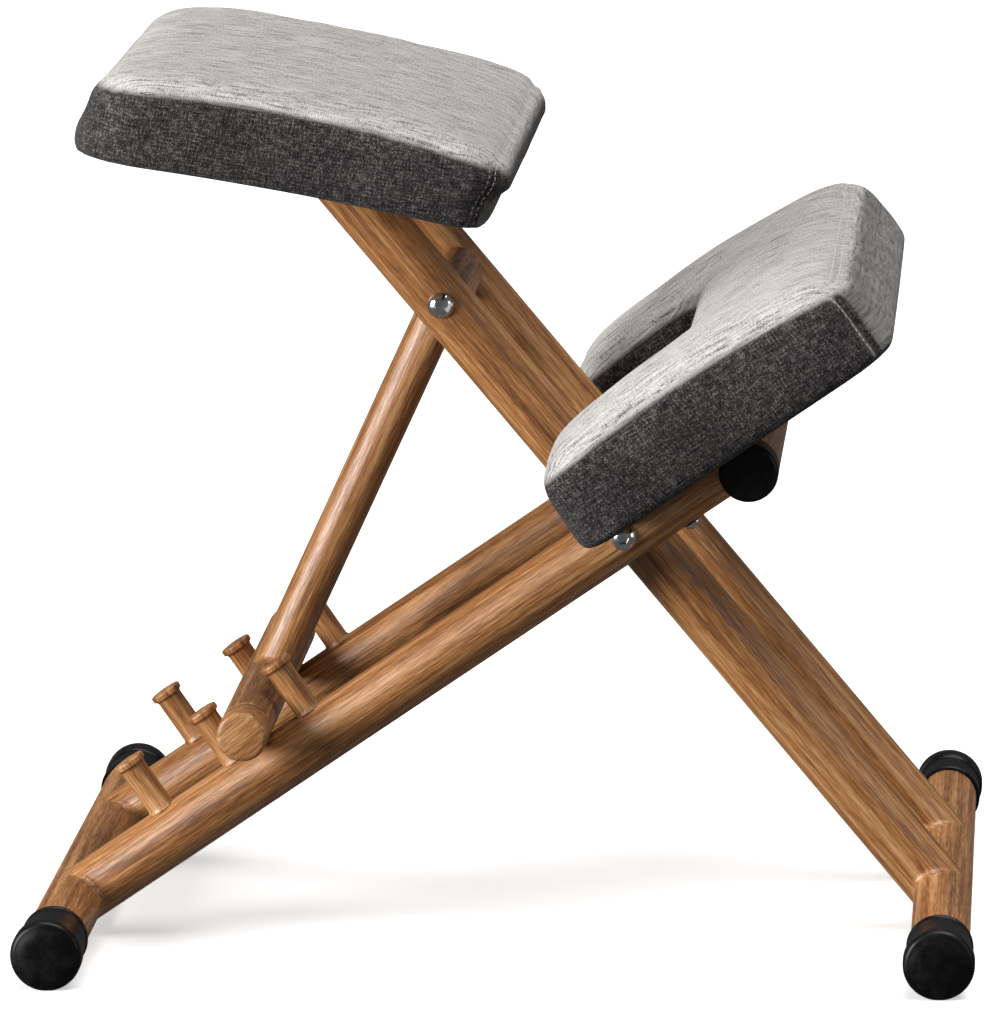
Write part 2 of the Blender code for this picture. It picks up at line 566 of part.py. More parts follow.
def make_seat_frame(pivot_empty):
    make_foot("front_foot", FOOT_SPREAD / 2, pivot_empty)
    foot_cutter = cylinder_across("front_foot_cutter", SEAT_FRAME, 0, 0, TUBE_R + FACE_GAP, FOOT_BAR_HALF)
    bush_hole = cylinder_across(
        "bush_hole_cutter", SEAT_FRAME, PIVOT_ALONG_SEAT, 0, BUSH_R + HOLE_GAP, FOOT_BAR_HALF, SMALL_SIDES
    )
    hole_r = PIVOT_BOLT_R + HOLE_GAP
    strut_hole = cylinder_across(
        "strut_hole_cutter", SEAT_FRAME, STRUT_BOLT_REACH, 0, hole_r, FOOT_BAR_HALF, SMALL_SIDES
    )
    rail_length, middle = rail_meets_pan()
    plate_half = SEAT_RAIL_Y + TUBE_R + PLATE_MARGIN
    under_plate = PLATE_ABOVE_PAD - PLATE_T - FACE_GAP
    above = box_mesh(
        (-FOOT_SPREAD, -FOOT_BAR_HALF, under_plate), (FOOT_SPREAD, FOOT_BAR_HALF, FOOT_SPREAD)
    )
    plate_cutter = add_object("above_plate_cutter", above, PAN_FRAME)
    for side_name, side in SIDES:
        blank = rail_length + TUBE_R + CUT_SPARE
        seat_rail = rail(f"seat_rail_{side_name}", SEAT_FRAME, side * SEAT_RAIL_Y, blank, pivot_empty)
        for cutter in (bush_hole, strut_hole, foot_cutter, plate_cutter):
            cut(seat_rail, cutter)
        bush_place = along_y(SEAT_FRAME, PIVOT_ALONG_SEAT, side * (SEAT_RAIL_Y - TUBE_R), 0, side)
        ring(
            f"pivot_bush_{side_name}",
            bush_place,
            PIVOT_BOLT_R + RUNNING_GAP,
            BUSH_R,
            2 * TUBE_R,
            zinc_steel(),
            pivot_empty,
        )
    plate = add_object(
        "seat_plate",
        box_mesh(
            (middle - PLATE_HALF_LENGTH, -plate_half, PLATE_ABOVE_PAD - PLATE_T),
            (middle + PLATE_HALF_LENGTH, plate_half, PLATE_ABOVE_PAD),
        ),
        PAN_FRAME,
        zinc_steel(),
        pivot_empty,
    )
    board_bottom = PLATE_ABOVE_PAD + FACE_GAP
    seat_board = board("seat_board", seat_pad_corners(SEAT_PAD_HEM), PAN_FRAME, board_bottom, pivot_empty)
    for end_name, end in (("front", 1), ("rear", -1)):
        for side_name, side in SIDES:
            x = middle + end * SCREW_HALF_LENGTH
            name = f"seat_screw_{end_name}_{side_name}"
            seat_screw(name, x, side * SCREW_HALF, plate, seat_board, pivot_empty)
    make_strut_bolt(pivot_empty)
    make_seat_cushion(board_bottom + BOARD_T, pivot_empty)


def rail_meets_pan():
    """Where a seat rail's axis meets the seat's underside: (distance along the rail, along the pan)."""
    to_pan = PAN_FRAME.inverted() @ SEAT_FRAME
    start, step = to_pan @ Vector((0, 0, 0)), to_pan.to_3x3() @ Vector((1, 0, 0))
    along_rail = -start.z / step.z
    return along_rail, start.x + along_rail * step.x


def seat_screw(name, x, y, plate, seat_board, parent):
    """A screw from under the seat plate up into the seat board."""
    head_at = PLATE_ABOVE_PAD - PLATE_T - FACE_GAP
    tip = PLATE_ABOVE_PAD + BOARD_BITE * BOARD_T
    place = PAN_FRAME @ Matrix.Translation((x, y, head_at)) @ Matrix.Rotation(math.pi, 4, "X")
    socket_bolt(name, place, PAD_BOLT_R, tip - head_at, PAD_HEAD_R, PAD_HEAD_T, parent)
    hole = turned_mesh(rod_profile(PAD_BOLT_R + HOLE_GAP, tip + FACE_GAP - head_at + CUT_SPARE), SMALL_SIDES)
    lowest = PAN_FRAME @ Matrix.Translation((x, y, head_at - CUT_SPARE))
    hole_cutter = add_object(name + "_hole_cutter", hole, lowest)
    cut(plate, hole_cutter)
    cut(seat_board, hole_cutter)


def make_strut_bolt(parent):
    """The long bolt through both seat rails that the strut hangs on."""
    outer_face = SEAT_RAIL_Y + TUBE_R + FACE_GAP
    head = along_y(SEAT_FRAME, STRUT_BOLT_REACH, -outer_face, 0, -1)
    length = 2 * outer_face + NUT_BITE * NUT_T
    socket_bolt("strut_bolt", head, PIVOT_BOLT_R, length, PIVOT_HEAD_R, PIVOT_HEAD_T, parent)
    cap_nut("strut_nut", along_y(SEAT_FRAME, STRUT_BOLT_REACH, outer_face, 0, 1), parent)


def make_seat_cushion(board_top, parent):
    """The seat pad: crowned above, with its top bowed down towards both ends."""
    hem, top = seat_pad_corners(SEAT_PAD_HEM), seat_pad_corners(SEAT_PAD_TOP)
    rings = [ring_at(hem, 0, 0), ring_at(hem, 0, SEAT_PAD_UPRIGHT)]
    for inset, drop in edge_rounding(SEAT_PAD_EDGE_R):
        rings.append(ring_at(top, inset, SEAT_PAD_EDGE - drop))
    for shrink, rise in ((0.85, 0.5), (0.6, 0.85), (0.3, 1.0)):
        height = SEAT_PAD_EDGE + SEAT_PAD_CROWN * rise
        rings.append([(x * shrink, y * shrink, height) for x, y, _ in rings[-1]])
    bent = SEAT_PAD_UPRIGHT + FACE_GAP
    bowed = [
        [(x, y, z - bow(x, SEAT_PAD_TOP, SEAT_PAD_BOW) if z > bent else z) for x, y, z in outline]
        for outline in rings
    ]
    cushion = add_object("seat_cushion", lofted_mesh(bowed), PAN_FRAME, grey_cloth(), parent)
    cut(cushion, board_pocket("seat_pocket_cutter", hem, PAN_FRAME, board_top))


def bow(x, ends, drop):
    """How far a cushion's top has bent down here, between ends where it bends down by drop."""
    rear, front = ends
    share = (2 * x - rear - front) / (front - rear)
    return drop * share**2


def make_strut(strut_empty):
    """The strut, the sleeve that it hangs by and the cross bar that stands on the knee rails."""
    sleeve_half = SEAT_RAIL_Y - TUBE_R - 2 * FACE_GAP
    axis_frame = Matrix.Translation(STRUT_BOLT)
    bar_frame = Matrix.Translation(T_BAR)
    bar_across(
        "strut_sleeve", axis_frame, 0, 0, SLEEVE_R, SLEEVE_WALL, sleeve_half, STRUT_SIDES, strut_empty
    )
    tube_end = T_BAR_HALF - PLUG_LENGTH - PLUG_RING_T - 2 * FACE_GAP
    bar_across("t_bar", bar_frame, 0, 0, T_BAR_R, TUBE_WALL, tube_end, STRUT_SIDES, strut_empty)
    reach = T_BAR - STRUT_BOLT
    builder = turned_mesh(tube_profile(STRUT_R, TUBE_WALL, reach.length), STRUT_SIDES, closed=True)
    lean = reach.to_track_quat("Z", "Y").to_matrix().to_4x4()
    strut_place = Matrix.Translation(STRUT_BOLT) @ lean
    strut = add_object("strut_tube", builder, strut_place, wood_film(), strut_empty)
    cut(strut, cylinder_across("sleeve_cutter", axis_frame, 0, 0, SLEEVE_R + FACE_GAP, sleeve_half))
    cut(strut, cylinder_across("t_bar_cutter", bar_frame, 0, 0, T_BAR_R + FACE_GAP, sleeve_half))
    spigot_r = T_BAR_R - TUBE_WALL - FACE_GAP
    for side_name, side in SIDES:
        bush_place = along_y(axis_frame, 0, side * (sleeve_half - SLEEVE_BUSH_LENGTH), 0, side)
        ring(
            f"sleeve_bush_{side_name}",
            bush_place,
            PIVOT_BOLT_R + RUNNING_GAP,
            SLEEVE_R - SLEEVE_WALL - FACE_GAP,
            SLEEVE_BUSH_LENGTH,
            white_nylon(),
            strut_empty,
        )
        ring_place = along_y(bar_frame, 0, side * (tube_end + FACE_GAP), 0, side)
        ring(
            f"t_bar_ring_{side_name}",
            ring_place,
            spigot_r + FACE_GAP,
            T_BAR_R - PLUG_RING_INSET,
            PLUG_RING_T,
            black_plastic(),
            strut_empty,
            STRUT_SIDES,
        )
        start = T_BAR_HALF - PLUG_LENGTH
        profile = [(0, tube_end - SPIGOT_LENGTH), (spigot_r, tube_end - SPIGOT_LENGTH), (spigot_r, start)]
        profile += [(T_BAR_R, start), (T_BAR_R, T_BAR_HALF - PLUG_CHAMFER)]
        profile += [(T_BAR_R - PLUG_CHAMFER, T_BAR_HALF), (0, T_BAR_HALF)]
        plug_place = along_y(bar_frame, 0, 0, 0, side)
        plug = turned_mesh(profile, STRUT_SIDES)
        add_object(f"t_bar_plug_{side_name}", plug, plug_place, wood_film(), strut_empty)


def joint_empty(name, location):
    made = bpy.data.objects.new(name, None)
    bpy.context.scene.collection.objects.link(made)
    made.location = location
    made.empty_display_size = 50 * MM
    return made


def main():
    for obj in list(bpy.data.objects):
        bpy.data.objects.remove(obj, do_unlink=True)
    make_knee_frame()
    make_seat_frame(joint_empty("frame_pivot", PIVOT))
    make_strut(joint_empty("strut_swing", STRUT_BOLT))


main()
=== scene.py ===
"""Kneeling chair: its finished look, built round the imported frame.

Metres, +Z up, in the frame's own axes: +X is the side that the sitter faces and +Y the sitter's left.
Sizes and places are read from the frame's nodes, so each new piece lies where its solid does.
"""

import math

import bpy
import numpy as np
from bpy.props import FloatProperty, FloatVectorProperty, IntProperty, PointerProperty
from mathutils import Matrix, Vector, kdtree, noise
from mathutils.bvhtree import BVHTree


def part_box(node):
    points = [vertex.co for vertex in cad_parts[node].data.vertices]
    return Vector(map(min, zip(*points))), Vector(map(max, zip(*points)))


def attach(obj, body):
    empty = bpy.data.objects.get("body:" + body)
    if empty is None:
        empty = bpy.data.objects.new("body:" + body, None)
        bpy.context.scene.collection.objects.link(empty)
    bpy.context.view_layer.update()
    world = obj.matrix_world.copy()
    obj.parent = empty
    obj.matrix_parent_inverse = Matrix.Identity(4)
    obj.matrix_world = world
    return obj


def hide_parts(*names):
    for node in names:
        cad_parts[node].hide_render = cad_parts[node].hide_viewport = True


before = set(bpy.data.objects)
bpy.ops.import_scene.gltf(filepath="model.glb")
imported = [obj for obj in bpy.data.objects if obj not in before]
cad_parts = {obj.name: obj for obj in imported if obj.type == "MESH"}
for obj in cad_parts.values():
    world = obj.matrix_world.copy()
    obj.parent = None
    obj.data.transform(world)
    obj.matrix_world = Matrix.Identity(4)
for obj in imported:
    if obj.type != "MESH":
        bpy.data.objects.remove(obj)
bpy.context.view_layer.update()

bl_info = {
    "name": "Kneeling Chair",
    "version": (1, 0, 0),
    "blender": (4, 5, 0),
    "location": "3D View > Sidebar > Kneeling Chair",
    "description": "Builds a kneeling chair's tubes, caps, fasteners and cushions round its frame",
    "category": "Object",
}

MM = 0.001
SIDES = (("left", 1), ("right", -1))
WRAP = 26 * MM  # how far a cover wraps under its board
STITCH_PITCH = 3.8 * MM
STITCH_ROWS = (-2.6 * MM, 2.6 * MM)  # either side of a seam
PATH_STEP = 2 * MM
BOARD_INSET = 8 * MM  # from a cushion's hem to its board, so that the cover hides the board
STITCH_HALF = 1.45 * MM  # half a stitch's length
THREAD_R = 0.36 * MM
ROUND = 72  # sides of a large turned piece
SMALL_ROUND = 40
SMOOTH_BELOW = math.radians(38)


# Places read from the frame


def middle(node):
    low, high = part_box(node)
    return (low + high) / 2


def square_place(origin, along):
    """A place whose X runs along, whose Y is the chair's, and whose Z stands square to both."""
    x = along.normalized()
    y = Vector((0, 1, 0))
    return Matrix.Translation(origin) @ Matrix((x, y, x.cross(y))).transposed().to_4x4()


def span(node, place):
    """Lowest and highest corner of a CAD node, measured along the axes of a place."""
    back = place.inverted()
    points = np.array([back @ vert.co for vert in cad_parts[node].data.vertices])
    return Vector(points.min(0)), Vector(points.max(0))


def along_y(place, x, y, z, side=1):
    """A place at this point of another, whose Z runs along +Y (side 1) or -Y (side -1)."""
    return place @ Matrix.Translation((x, y, z)) @ Matrix.Rotation(-side * math.pi / 2, 4, "X")


def along_x(place, y=0):
    """A place this far to the side of another, whose Z runs along its X."""
    return place @ Matrix.Translation((0, y, 0)) @ Matrix.Rotation(math.pi / 2, 4, "Y")


def round_radius(node):
    """The radius of a round bar, plug or cap that lies across the chair."""
    low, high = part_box(node)
    return (high.x - low.x) / 2


def reach_of(low, high):
    """How far from the chair's middle a piece at one side starts and ends."""
    return sorted((abs(low.y), abs(high.y)))


REAR_FOOT, FRONT_FOOT = middle("rear_foot_bar"), middle("front_foot_bar")
KNEE = square_place(REAR_FOOT, middle("knee_cross_bar") - REAR_FOOT)
SEAT = square_place(FRONT_FOOT, middle("strut_sleeve") - FRONT_FOOT)
PAN = square_place(middle("seat_board"), middle("seat_screw_front_left") - middle("seat_screw_rear_left"))
STRUT_TOP, STRUT_FOOT = middle("strut_sleeve"), middle("t_bar")
STRUT = square_place(STRUT_TOP, STRUT_FOOT - STRUT_TOP)
TUBE_R = round_radius("rear_foot_bar")
KNEE_RAIL_Y = middle("knee_rail_left").y
SEAT_RAIL_Y = middle("seat_rail_left").y
KNEE_RAIL_LENGTH = (middle("knee_cross_bar") - REAR_FOOT).length
PIVOT_ALONG_KNEE = (KNEE.inverted() @ middle("pivot_nut_left")).x


# Sizes and colours that a user would change


def colour(name, description, default):
    return FloatVectorProperty(
        name=name, description=description, default=default, subtype="COLOR", min=0, max=1
    )


def length(name, description, default, least=0.0):
    return FloatProperty(
        name=name,
        description=description,
        default=default,
        min=least,
        subtype="DISTANCE",
        unit="LENGTH",
    )


def amount(name, description, default, unit="NONE"):
    return FloatProperty(name=name, description=description, default=default, min=0, unit=unit)


class ChairWood(bpy.types.PropertyGroup):
    dark: colour("Dark grain", "Colour of the wood film's darkest streaks", (0.115, 0.036, 0.008))
    middle: colour("Middle grain", "Colour of most of the wood film", (0.37, 0.155, 0.046))
    light: colour("Light grain", "Colour of the wood film's palest streaks", (0.62, 0.34, 0.15))
    streak: length("Streak width", "Width of a main streak across the grain", 4.5 * MM, 1 * MM)
    bead: length("Weld bead", "Radius of the hollow bead round a joint", 5.0 * MM, 0.5 * MM)


class ChairCloth(bpy.types.PropertyGroup):
    dark: colour("Dark yarn", "Colour of the cloth's darkest yarns", (0.125, 0.117, 0.113))
    light: colour("Light yarn", "Colour of the cloth's palest yarns", (0.64, 0.62, 0.595))
    thread: colour("Stitching thread", "Colour of the topstitching", (0.62, 0.6, 0.575))
    yarn: length("Yarn pitch", "Distance from one yarn to the next", 1.25 * MM, 0.4 * MM)
    pressure: amount("Stuffing pressure", "How hard the foam presses on the cover", 4.0)
    swell: length("Most swell", "Furthest that the foam may push the cover out", 1.8 * MM)
    voxel: length("Cover mesh size", "Cover's mesh before its subdivision", 5.0 * MM, 3 * MM)
    frames: IntProperty(
        name="Simulation frames",
        description="How long the cloth simulation runs",
        default=20,
        min=1,
    )


class ChairHardware(bpy.types.PropertyGroup):
    cap: colour("Cap colour", "Colour of the black plastic caps", (0.0022, 0.002, 0.0026))
    chrome: colour("Chrome colour", "Colour of the chromed fasteners", (0.78, 0.78, 0.79))


class ChairStage(bpy.types.PropertyGroup):
    floor: colour("Floor colour", "Colour of the floor", (0.9, 0.9, 0.9))
    overhead: amount("Overhead light", "Strength of the soft light from above", 3.0)
    left: amount("Left light", "Power of the softbox on the left", 165.0, "POWER")
    right: amount("Right light", "Power of the softbox on the right", 12.0, "POWER")
    fill: amount("Fill", "Strength of the even light from all round", 0.11)


SETTINGS = (
    ("chair_wood", ChairWood),
    ("chair_cloth", ChairCloth),
    ("chair_hardware", ChairHardware),
    ("chair_stage", ChairStage),
)


# Modelling by hand


def start_afresh():
    if bpy.context.object and bpy.context.object.mode != "OBJECT":
        bpy.ops.object.mode_set(mode="OBJECT")
    bpy.ops.object.select_all(action="DESELECT")


def take(piece):
    """Makes this piece the only one selected."""
    start_afresh()
    piece.select_set(True)
    bpy.context.view_layer.objects.active = piece


def turned(profile, sides=ROUND):
    """A disc drawn out along Z through (radius, height) steps, closed at both ends."""
    start_afresh()
    radius, height = profile[0]
    bpy.ops.mesh.primitive_circle_add(
        vertices=sides, radius=radius, fill_type="NGON", location=(0, 0, height)
    )
    bpy.ops.object.transform_apply(location=True, rotation=False, scale=False)
    bpy.ops.object.mode_set(mode="EDIT")
    bpy.ops.mesh.select_all(action="SELECT")
    for next_radius, next_height in profile[1:]:
        bpy.ops.mesh.extrude_region_move(TRANSFORM_OT_translate={"value": (0, 0, next_height - height)})
        share = next_radius / radius
        bpy.ops.transform.resize(value=(share, share, 1), center_override=(0, 0, next_height))
        radius, height = next_radius, next_height
    bpy.ops.mesh.select_all(action="SELECT")
    bpy.ops.mesh.normals_make_consistent(inside=False)
    bpy.ops.object.mode_set(mode="OBJECT")
    return bpy.context.object


def rounded(radius, height, turn_r, steps=5, end=1):
    """(radius, height) steps round an edge, from a side to the end above (end 1) or below (-1)."""
    angles = [math.pi / 2 * step / steps for step in range(steps + 1)]
    return [
        (radius - turn_r * (1 - math.cos(a)), height - end * turn_r * (1 - math.sin(a))) for a in angles
    ]


def put(piece, place):
    """Moves a piece made at the origin to its place, and keeps the place in its mesh."""
    take(piece)
    piece.matrix_world = place @ piece.matrix_world
    bpy.ops.object.transform_apply(location=True, rotation=True, scale=True)
    return piece


def carve(piece, cutter, operation="DIFFERENCE"):
    """Cuts one shape out of a piece, or joins it to it, and applies the result."""
    take(piece)
    modifier = piece.modifiers.new("carve", "BOOLEAN")
    modifier.operation = operation
    modifier.solver = "EXACT"
    modifier.object = cutter
    bpy.ops.object.modifier_apply(modifier=modifier.name)
    bpy.data.objects.remove(cutter, do_unlink=True)
    return piece


def soften(piece, width, segments=3, angle=math.radians(40)):
    """Rounds a piece's sharp edges."""
    take(piece)
    modifier = piece.modifiers.new("soften", "BEVEL")
    modifier.width = width
    modifier.segments = segments
    modifier.limit_method = "ANGLE"
    modifier.angle_limit = angle
    bpy.ops.object.modifier_apply(modifier=modifier.name)
    return piece


def shave(piece, point, normal):
    """Cuts off what lies beyond a plane, on the side that its normal points to, and closes the cut."""
    take(piece)
    bpy.ops.object.mode_set(mode="EDIT")
    bpy.ops.mesh.select_all(action="SELECT")
    bpy.ops.mesh.bisect(plane_co=point, plane_no=normal, use_fill=True, clear_outer=True)
    bpy.ops.object.mode_set(mode="OBJECT")
    return piece


def built(name, points, faces):
    """A new object with this mesh."""
    mesh = bpy.data.meshes.new(name)
    mesh.from_pydata(points, [], faces)
    made = bpy.data.objects.new(name, mesh)
    bpy.context.scene.collection.objects.link(made)
    return made


def surface_of(piece):
    """What finds the nearest place on a piece."""
    return BVHTree.FromPolygons(
        [vert.co for vert in piece.data.vertices], [face.vertices for face in piece.data.polygons]
    )


def hand_over(piece, name, body, finish, replaced=()):
    """Names a finished piece, gives it its material, and hangs it on its body."""
    take(piece)
    name += "_finished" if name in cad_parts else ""
    piece.name = name
    piece.data.name = name
    piece.data.materials.clear()
    piece.data.materials.append(finish)
    bpy.ops.object.shade_smooth_by_angle(angle=SMOOTH_BELOW)
    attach(piece, body)
    if replaced:
        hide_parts(*replaced)
    return piece


# Materials


def add_node(tree, kind, inputs=None, **settings):
    """A node with its settings made, and each input set to a value or linked from a socket."""
    made = tree.nodes.new(kind)
    for key, value in settings.items():
        setattr(made, key, value)
    for socket, value in (inputs or {}).items():
        if isinstance(value, bpy.types.NodeSocket):
            tree.links.new(value, made.inputs[socket])
        else:
            made.inputs[socket].default_value = value
    return made


def start_material(name, **values):
    """A new material, its node tree and its shader with these even values on the shader's own sockets."""
    finish = bpy.data.materials.new(name)
    finish.use_nodes = True
    tree = finish.node_tree
    shader = tree.nodes["Principled BSDF"]
    for key, value in values.items():
        shader.inputs[key.replace("_", " ")].default_value = value
    return finish, tree, shader


def local_coordinates(tree, place=Matrix.Identity(4), scale=(1, 1, 1)):
    """Object coordinates turned to a place's own axes, then stretched."""
    coordinates = add_node(tree, "ShaderNodeTexCoord").outputs["Object"]
    turned_to = add_node(
        tree,
        "ShaderNodeMapping",
        {"Vector": coordinates, "Location": place.translation, "Rotation": place.to_euler()},
        vector_type="TEXTURE",
    )
    return add_node(
        tree, "ShaderNodeMapping", {"Vector": turned_to.outputs[0], "Scale": scale}
    ).outputs[0]


def noise_at(tree, vector, detail=3.0, roughness=0.5, distortion=0.0, scale=1.0):
    inputs = {"Vector": vector, "Detail": detail, "Roughness": roughness}
    inputs |= {"Distortion": distortion, "Scale": scale}
    return add_node(tree, "ShaderNodeTexNoise", inputs).outputs["Fac"]


def sum_of(tree, first, second, operation="ADD"):
    return add_node(tree, "ShaderNodeMath", {0: first, 1: second}, operation=operation).outputs[0]


def times(tree, first, second):
    return sum_of(tree, first, second, "MULTIPLY")


def spread(tree, value, low, high, to_low=0.0, to_high=1.0):
    """A value from one range put into another, clamped."""
    inputs = {"Value": value, "From Min": low, "From Max": high, "To Min": to_low, "To Max": to_high}
    return add_node(tree, "ShaderNodeMapRange", inputs).outputs[0]


def ramp(tree, value, stops):
    """A colour ramp through (position, colour) stops."""
    made = add_node(tree, "ShaderNodeValToRGB", {"Fac": value})
    elements = made.color_ramp.elements
    while len(elements) < len(stops):
        elements.new(0.5)
    for element, (position, colour) in zip(elements, stops):
        element.position = position
        element.color = (*colour, 1)
    return made.outputs["Color"]


def bump(tree, shader, height, distance, strength=1.0):
    raised = add_node(
        tree, "ShaderNodeBump", {"Height": height, "Distance": distance, "Strength": strength}
    )
    tree.links.new(raised.outputs["Normal"], shader.inputs["Normal"])


def wood_film(name, place):
    """Printed wood film with its grain along X: long streaks, short dark pores, slow changes of tone."""
    wood = bpy.context.scene.chair_wood
    finish, tree, shader = start_material(
        name, Specular_IOR_Level=0.5, Coat_Weight=0.3, Coat_Roughness=0.3
    )
    across = 1 / wood.streak
    streaks = noise_at(tree, local_coordinates(tree, place, (5, across, across)), 4, 0.65, 0.3)
    pores = noise_at(tree, local_coordinates(tree, place, (60, 5.0 * across, 5.0 * across)), 3, 0.65, 0.1)
    slow_scale = (2.6, 0.18 * across, 0.18 * across)
    slow = noise_at(tree, local_coordinates(tree, place, slow_scale), 2, 0.5, 0.6)
    light_streaks = spread(tree, streaks, 0.3, 0.7, 0, 0.6)
    tone = sum_of(tree, light_streaks, spread(tree, pores, 0.3, 0.7, -0.06, 0.5))
    tone = sum_of(tree, tone, spread(tree, slow, 0.3, 0.7, -0.12, 0.14))
    between = [(a + b) / 2 for a, b in zip(wood.dark, wood.middle)]
    stops = [(0.12, wood.dark), (0.36, between), (0.54, wood.middle), (0.92, wood.light)]
    tree.links.new(ramp(tree, tone, stops), shader.inputs["Base Color"])
    open_pores = spread(tree, pores, 0.36, 0.6)
    tree.links.new(spread(tree, open_pores, 0, 1, 0.52, 0.34), shader.inputs["Roughness"])
    bump(tree, shader, sum_of(tree, open_pores, spread(tree, streaks, 0.3, 0.7, 0, 0.6)), 0.12 * MM, 0.7)
    return finish


def cap_plastic():
    """Moulded black plastic: a fine grain, and faint scuffs that dull it."""
    finish, tree, shader = start_material("cap_plastic", Specular_IOR_Level=0.22, IOR=1.5)
    colour = bpy.context.scene.chair_hardware.cap
    where = local_coordinates(tree)
    scuffs = noise_at(tree, where, 5, 0.7, 0.4, 90)
    grain = noise_at(tree, where, 2, 0.5, 0, 1500)
    worn = [min(1, 2.6 * c + 0.004) for c in colour]
    tree.links.new(ramp(tree, scuffs, [(0.45, colour), (0.75, worn)]), shader.inputs["Base Color"])
    tree.links.new(spread(tree, scuffs, 0.35, 0.7, 0.3, 0.48), shader.inputs["Roughness"])
    bump(tree, shader, grain, 0.05 * MM, 0.5)
    return finish


def polished_steel(name, colour, rough_low, rough_high, brush=(400, 400, 400)):
    """Plated steel with faint brushing and fingerprints."""
    finish, tree, shader = start_material(name, Metallic=1.0)
    where = local_coordinates(tree)
    brushed = noise_at(tree, local_coordinates(tree, scale=brush), 4, 0.6)
    prints = noise_at(tree, where, 3, 0.55, 0.5, 160)
    dulled = [0.82 * c for c in colour]
    tree.links.new(ramp(tree, prints, [(0.35, dulled), (0.6, colour)]), shader.inputs["Base Color"])
    both = times(tree, brushed, prints)
    tree.links.new(spread(tree, both, 0.12, 0.4, rough_low, rough_high), shader.inputs["Roughness"])
    bump(tree, shader, brushed, 0.02 * MM, 0.4)
    return finish


def nylon():
    """Natural nylon, slightly translucent, with a moulded mottle."""
    finish, tree, shader = start_material("nylon", Subsurface_Weight=0.15, Subsurface_Scale=0.8 * MM)
    mottle = noise_at(tree, local_coordinates(tree), 3, 0.5, 0.2, 240)
    pale, paler = (0.68, 0.66, 0.6), (0.82, 0.81, 0.77)
    tree.links.new(ramp(tree, mottle, [(0.35, pale), (0.65, paler)]), shader.inputs["Base Color"])
    tree.links.new(spread(tree, mottle, 0.3, 0.7, 0.38, 0.55), shader.inputs["Roughness"])
    bump(tree, shader, mottle, 0.04 * MM, 0.5)
    return finish


def plywood(name, place):
    """Birch plywood: long grain on its faces, and the plies' light and dark lines on its edges."""
    finish, tree, shader = start_material(name, Specular_IOR_Level=0.3)
    grain = noise_at(tree, local_coordinates(tree, place, (18, 340, 60)), 5, 0.6, 0.3)
    slow = noise_at(tree, local_coordinates(tree, place, (7, 30, 8)), 2, 0.5, 0.8)
    plies = add_node(
        tree,
        "ShaderNodeTexWave",
        {"Vector": local_coordinates(tree, place), "Scale": 130, "Distortion": 0.6, "Detail": 1},
        bands_direction="Z",
    ).outputs["Fac"]
    tone = sum_of(tree, spread(tree, grain, 0.3, 0.7, 0, 0.5), spread(tree, slow, 0.3, 0.7, 0, 0.35))
    tone = sum_of(tree, tone, spread(tree, plies, 0, 1, -0.08, 0.15))
    brown, tan, cream = (0.32, 0.19, 0.09), (0.55, 0.38, 0.21), (0.72, 0.56, 0.36)
    colours = ramp(tree, tone, [(0.05, brown), (0.4, tan), (0.9, cream)])
    tree.links.new(colours, shader.inputs["Base Color"])
    tree.links.new(spread(tree, grain, 0.3, 0.7, 0.75, 0.55), shader.inputs["Roughness"])
    bump(tree, shader, grain, 0.15 * MM, 0.5)
    return finish


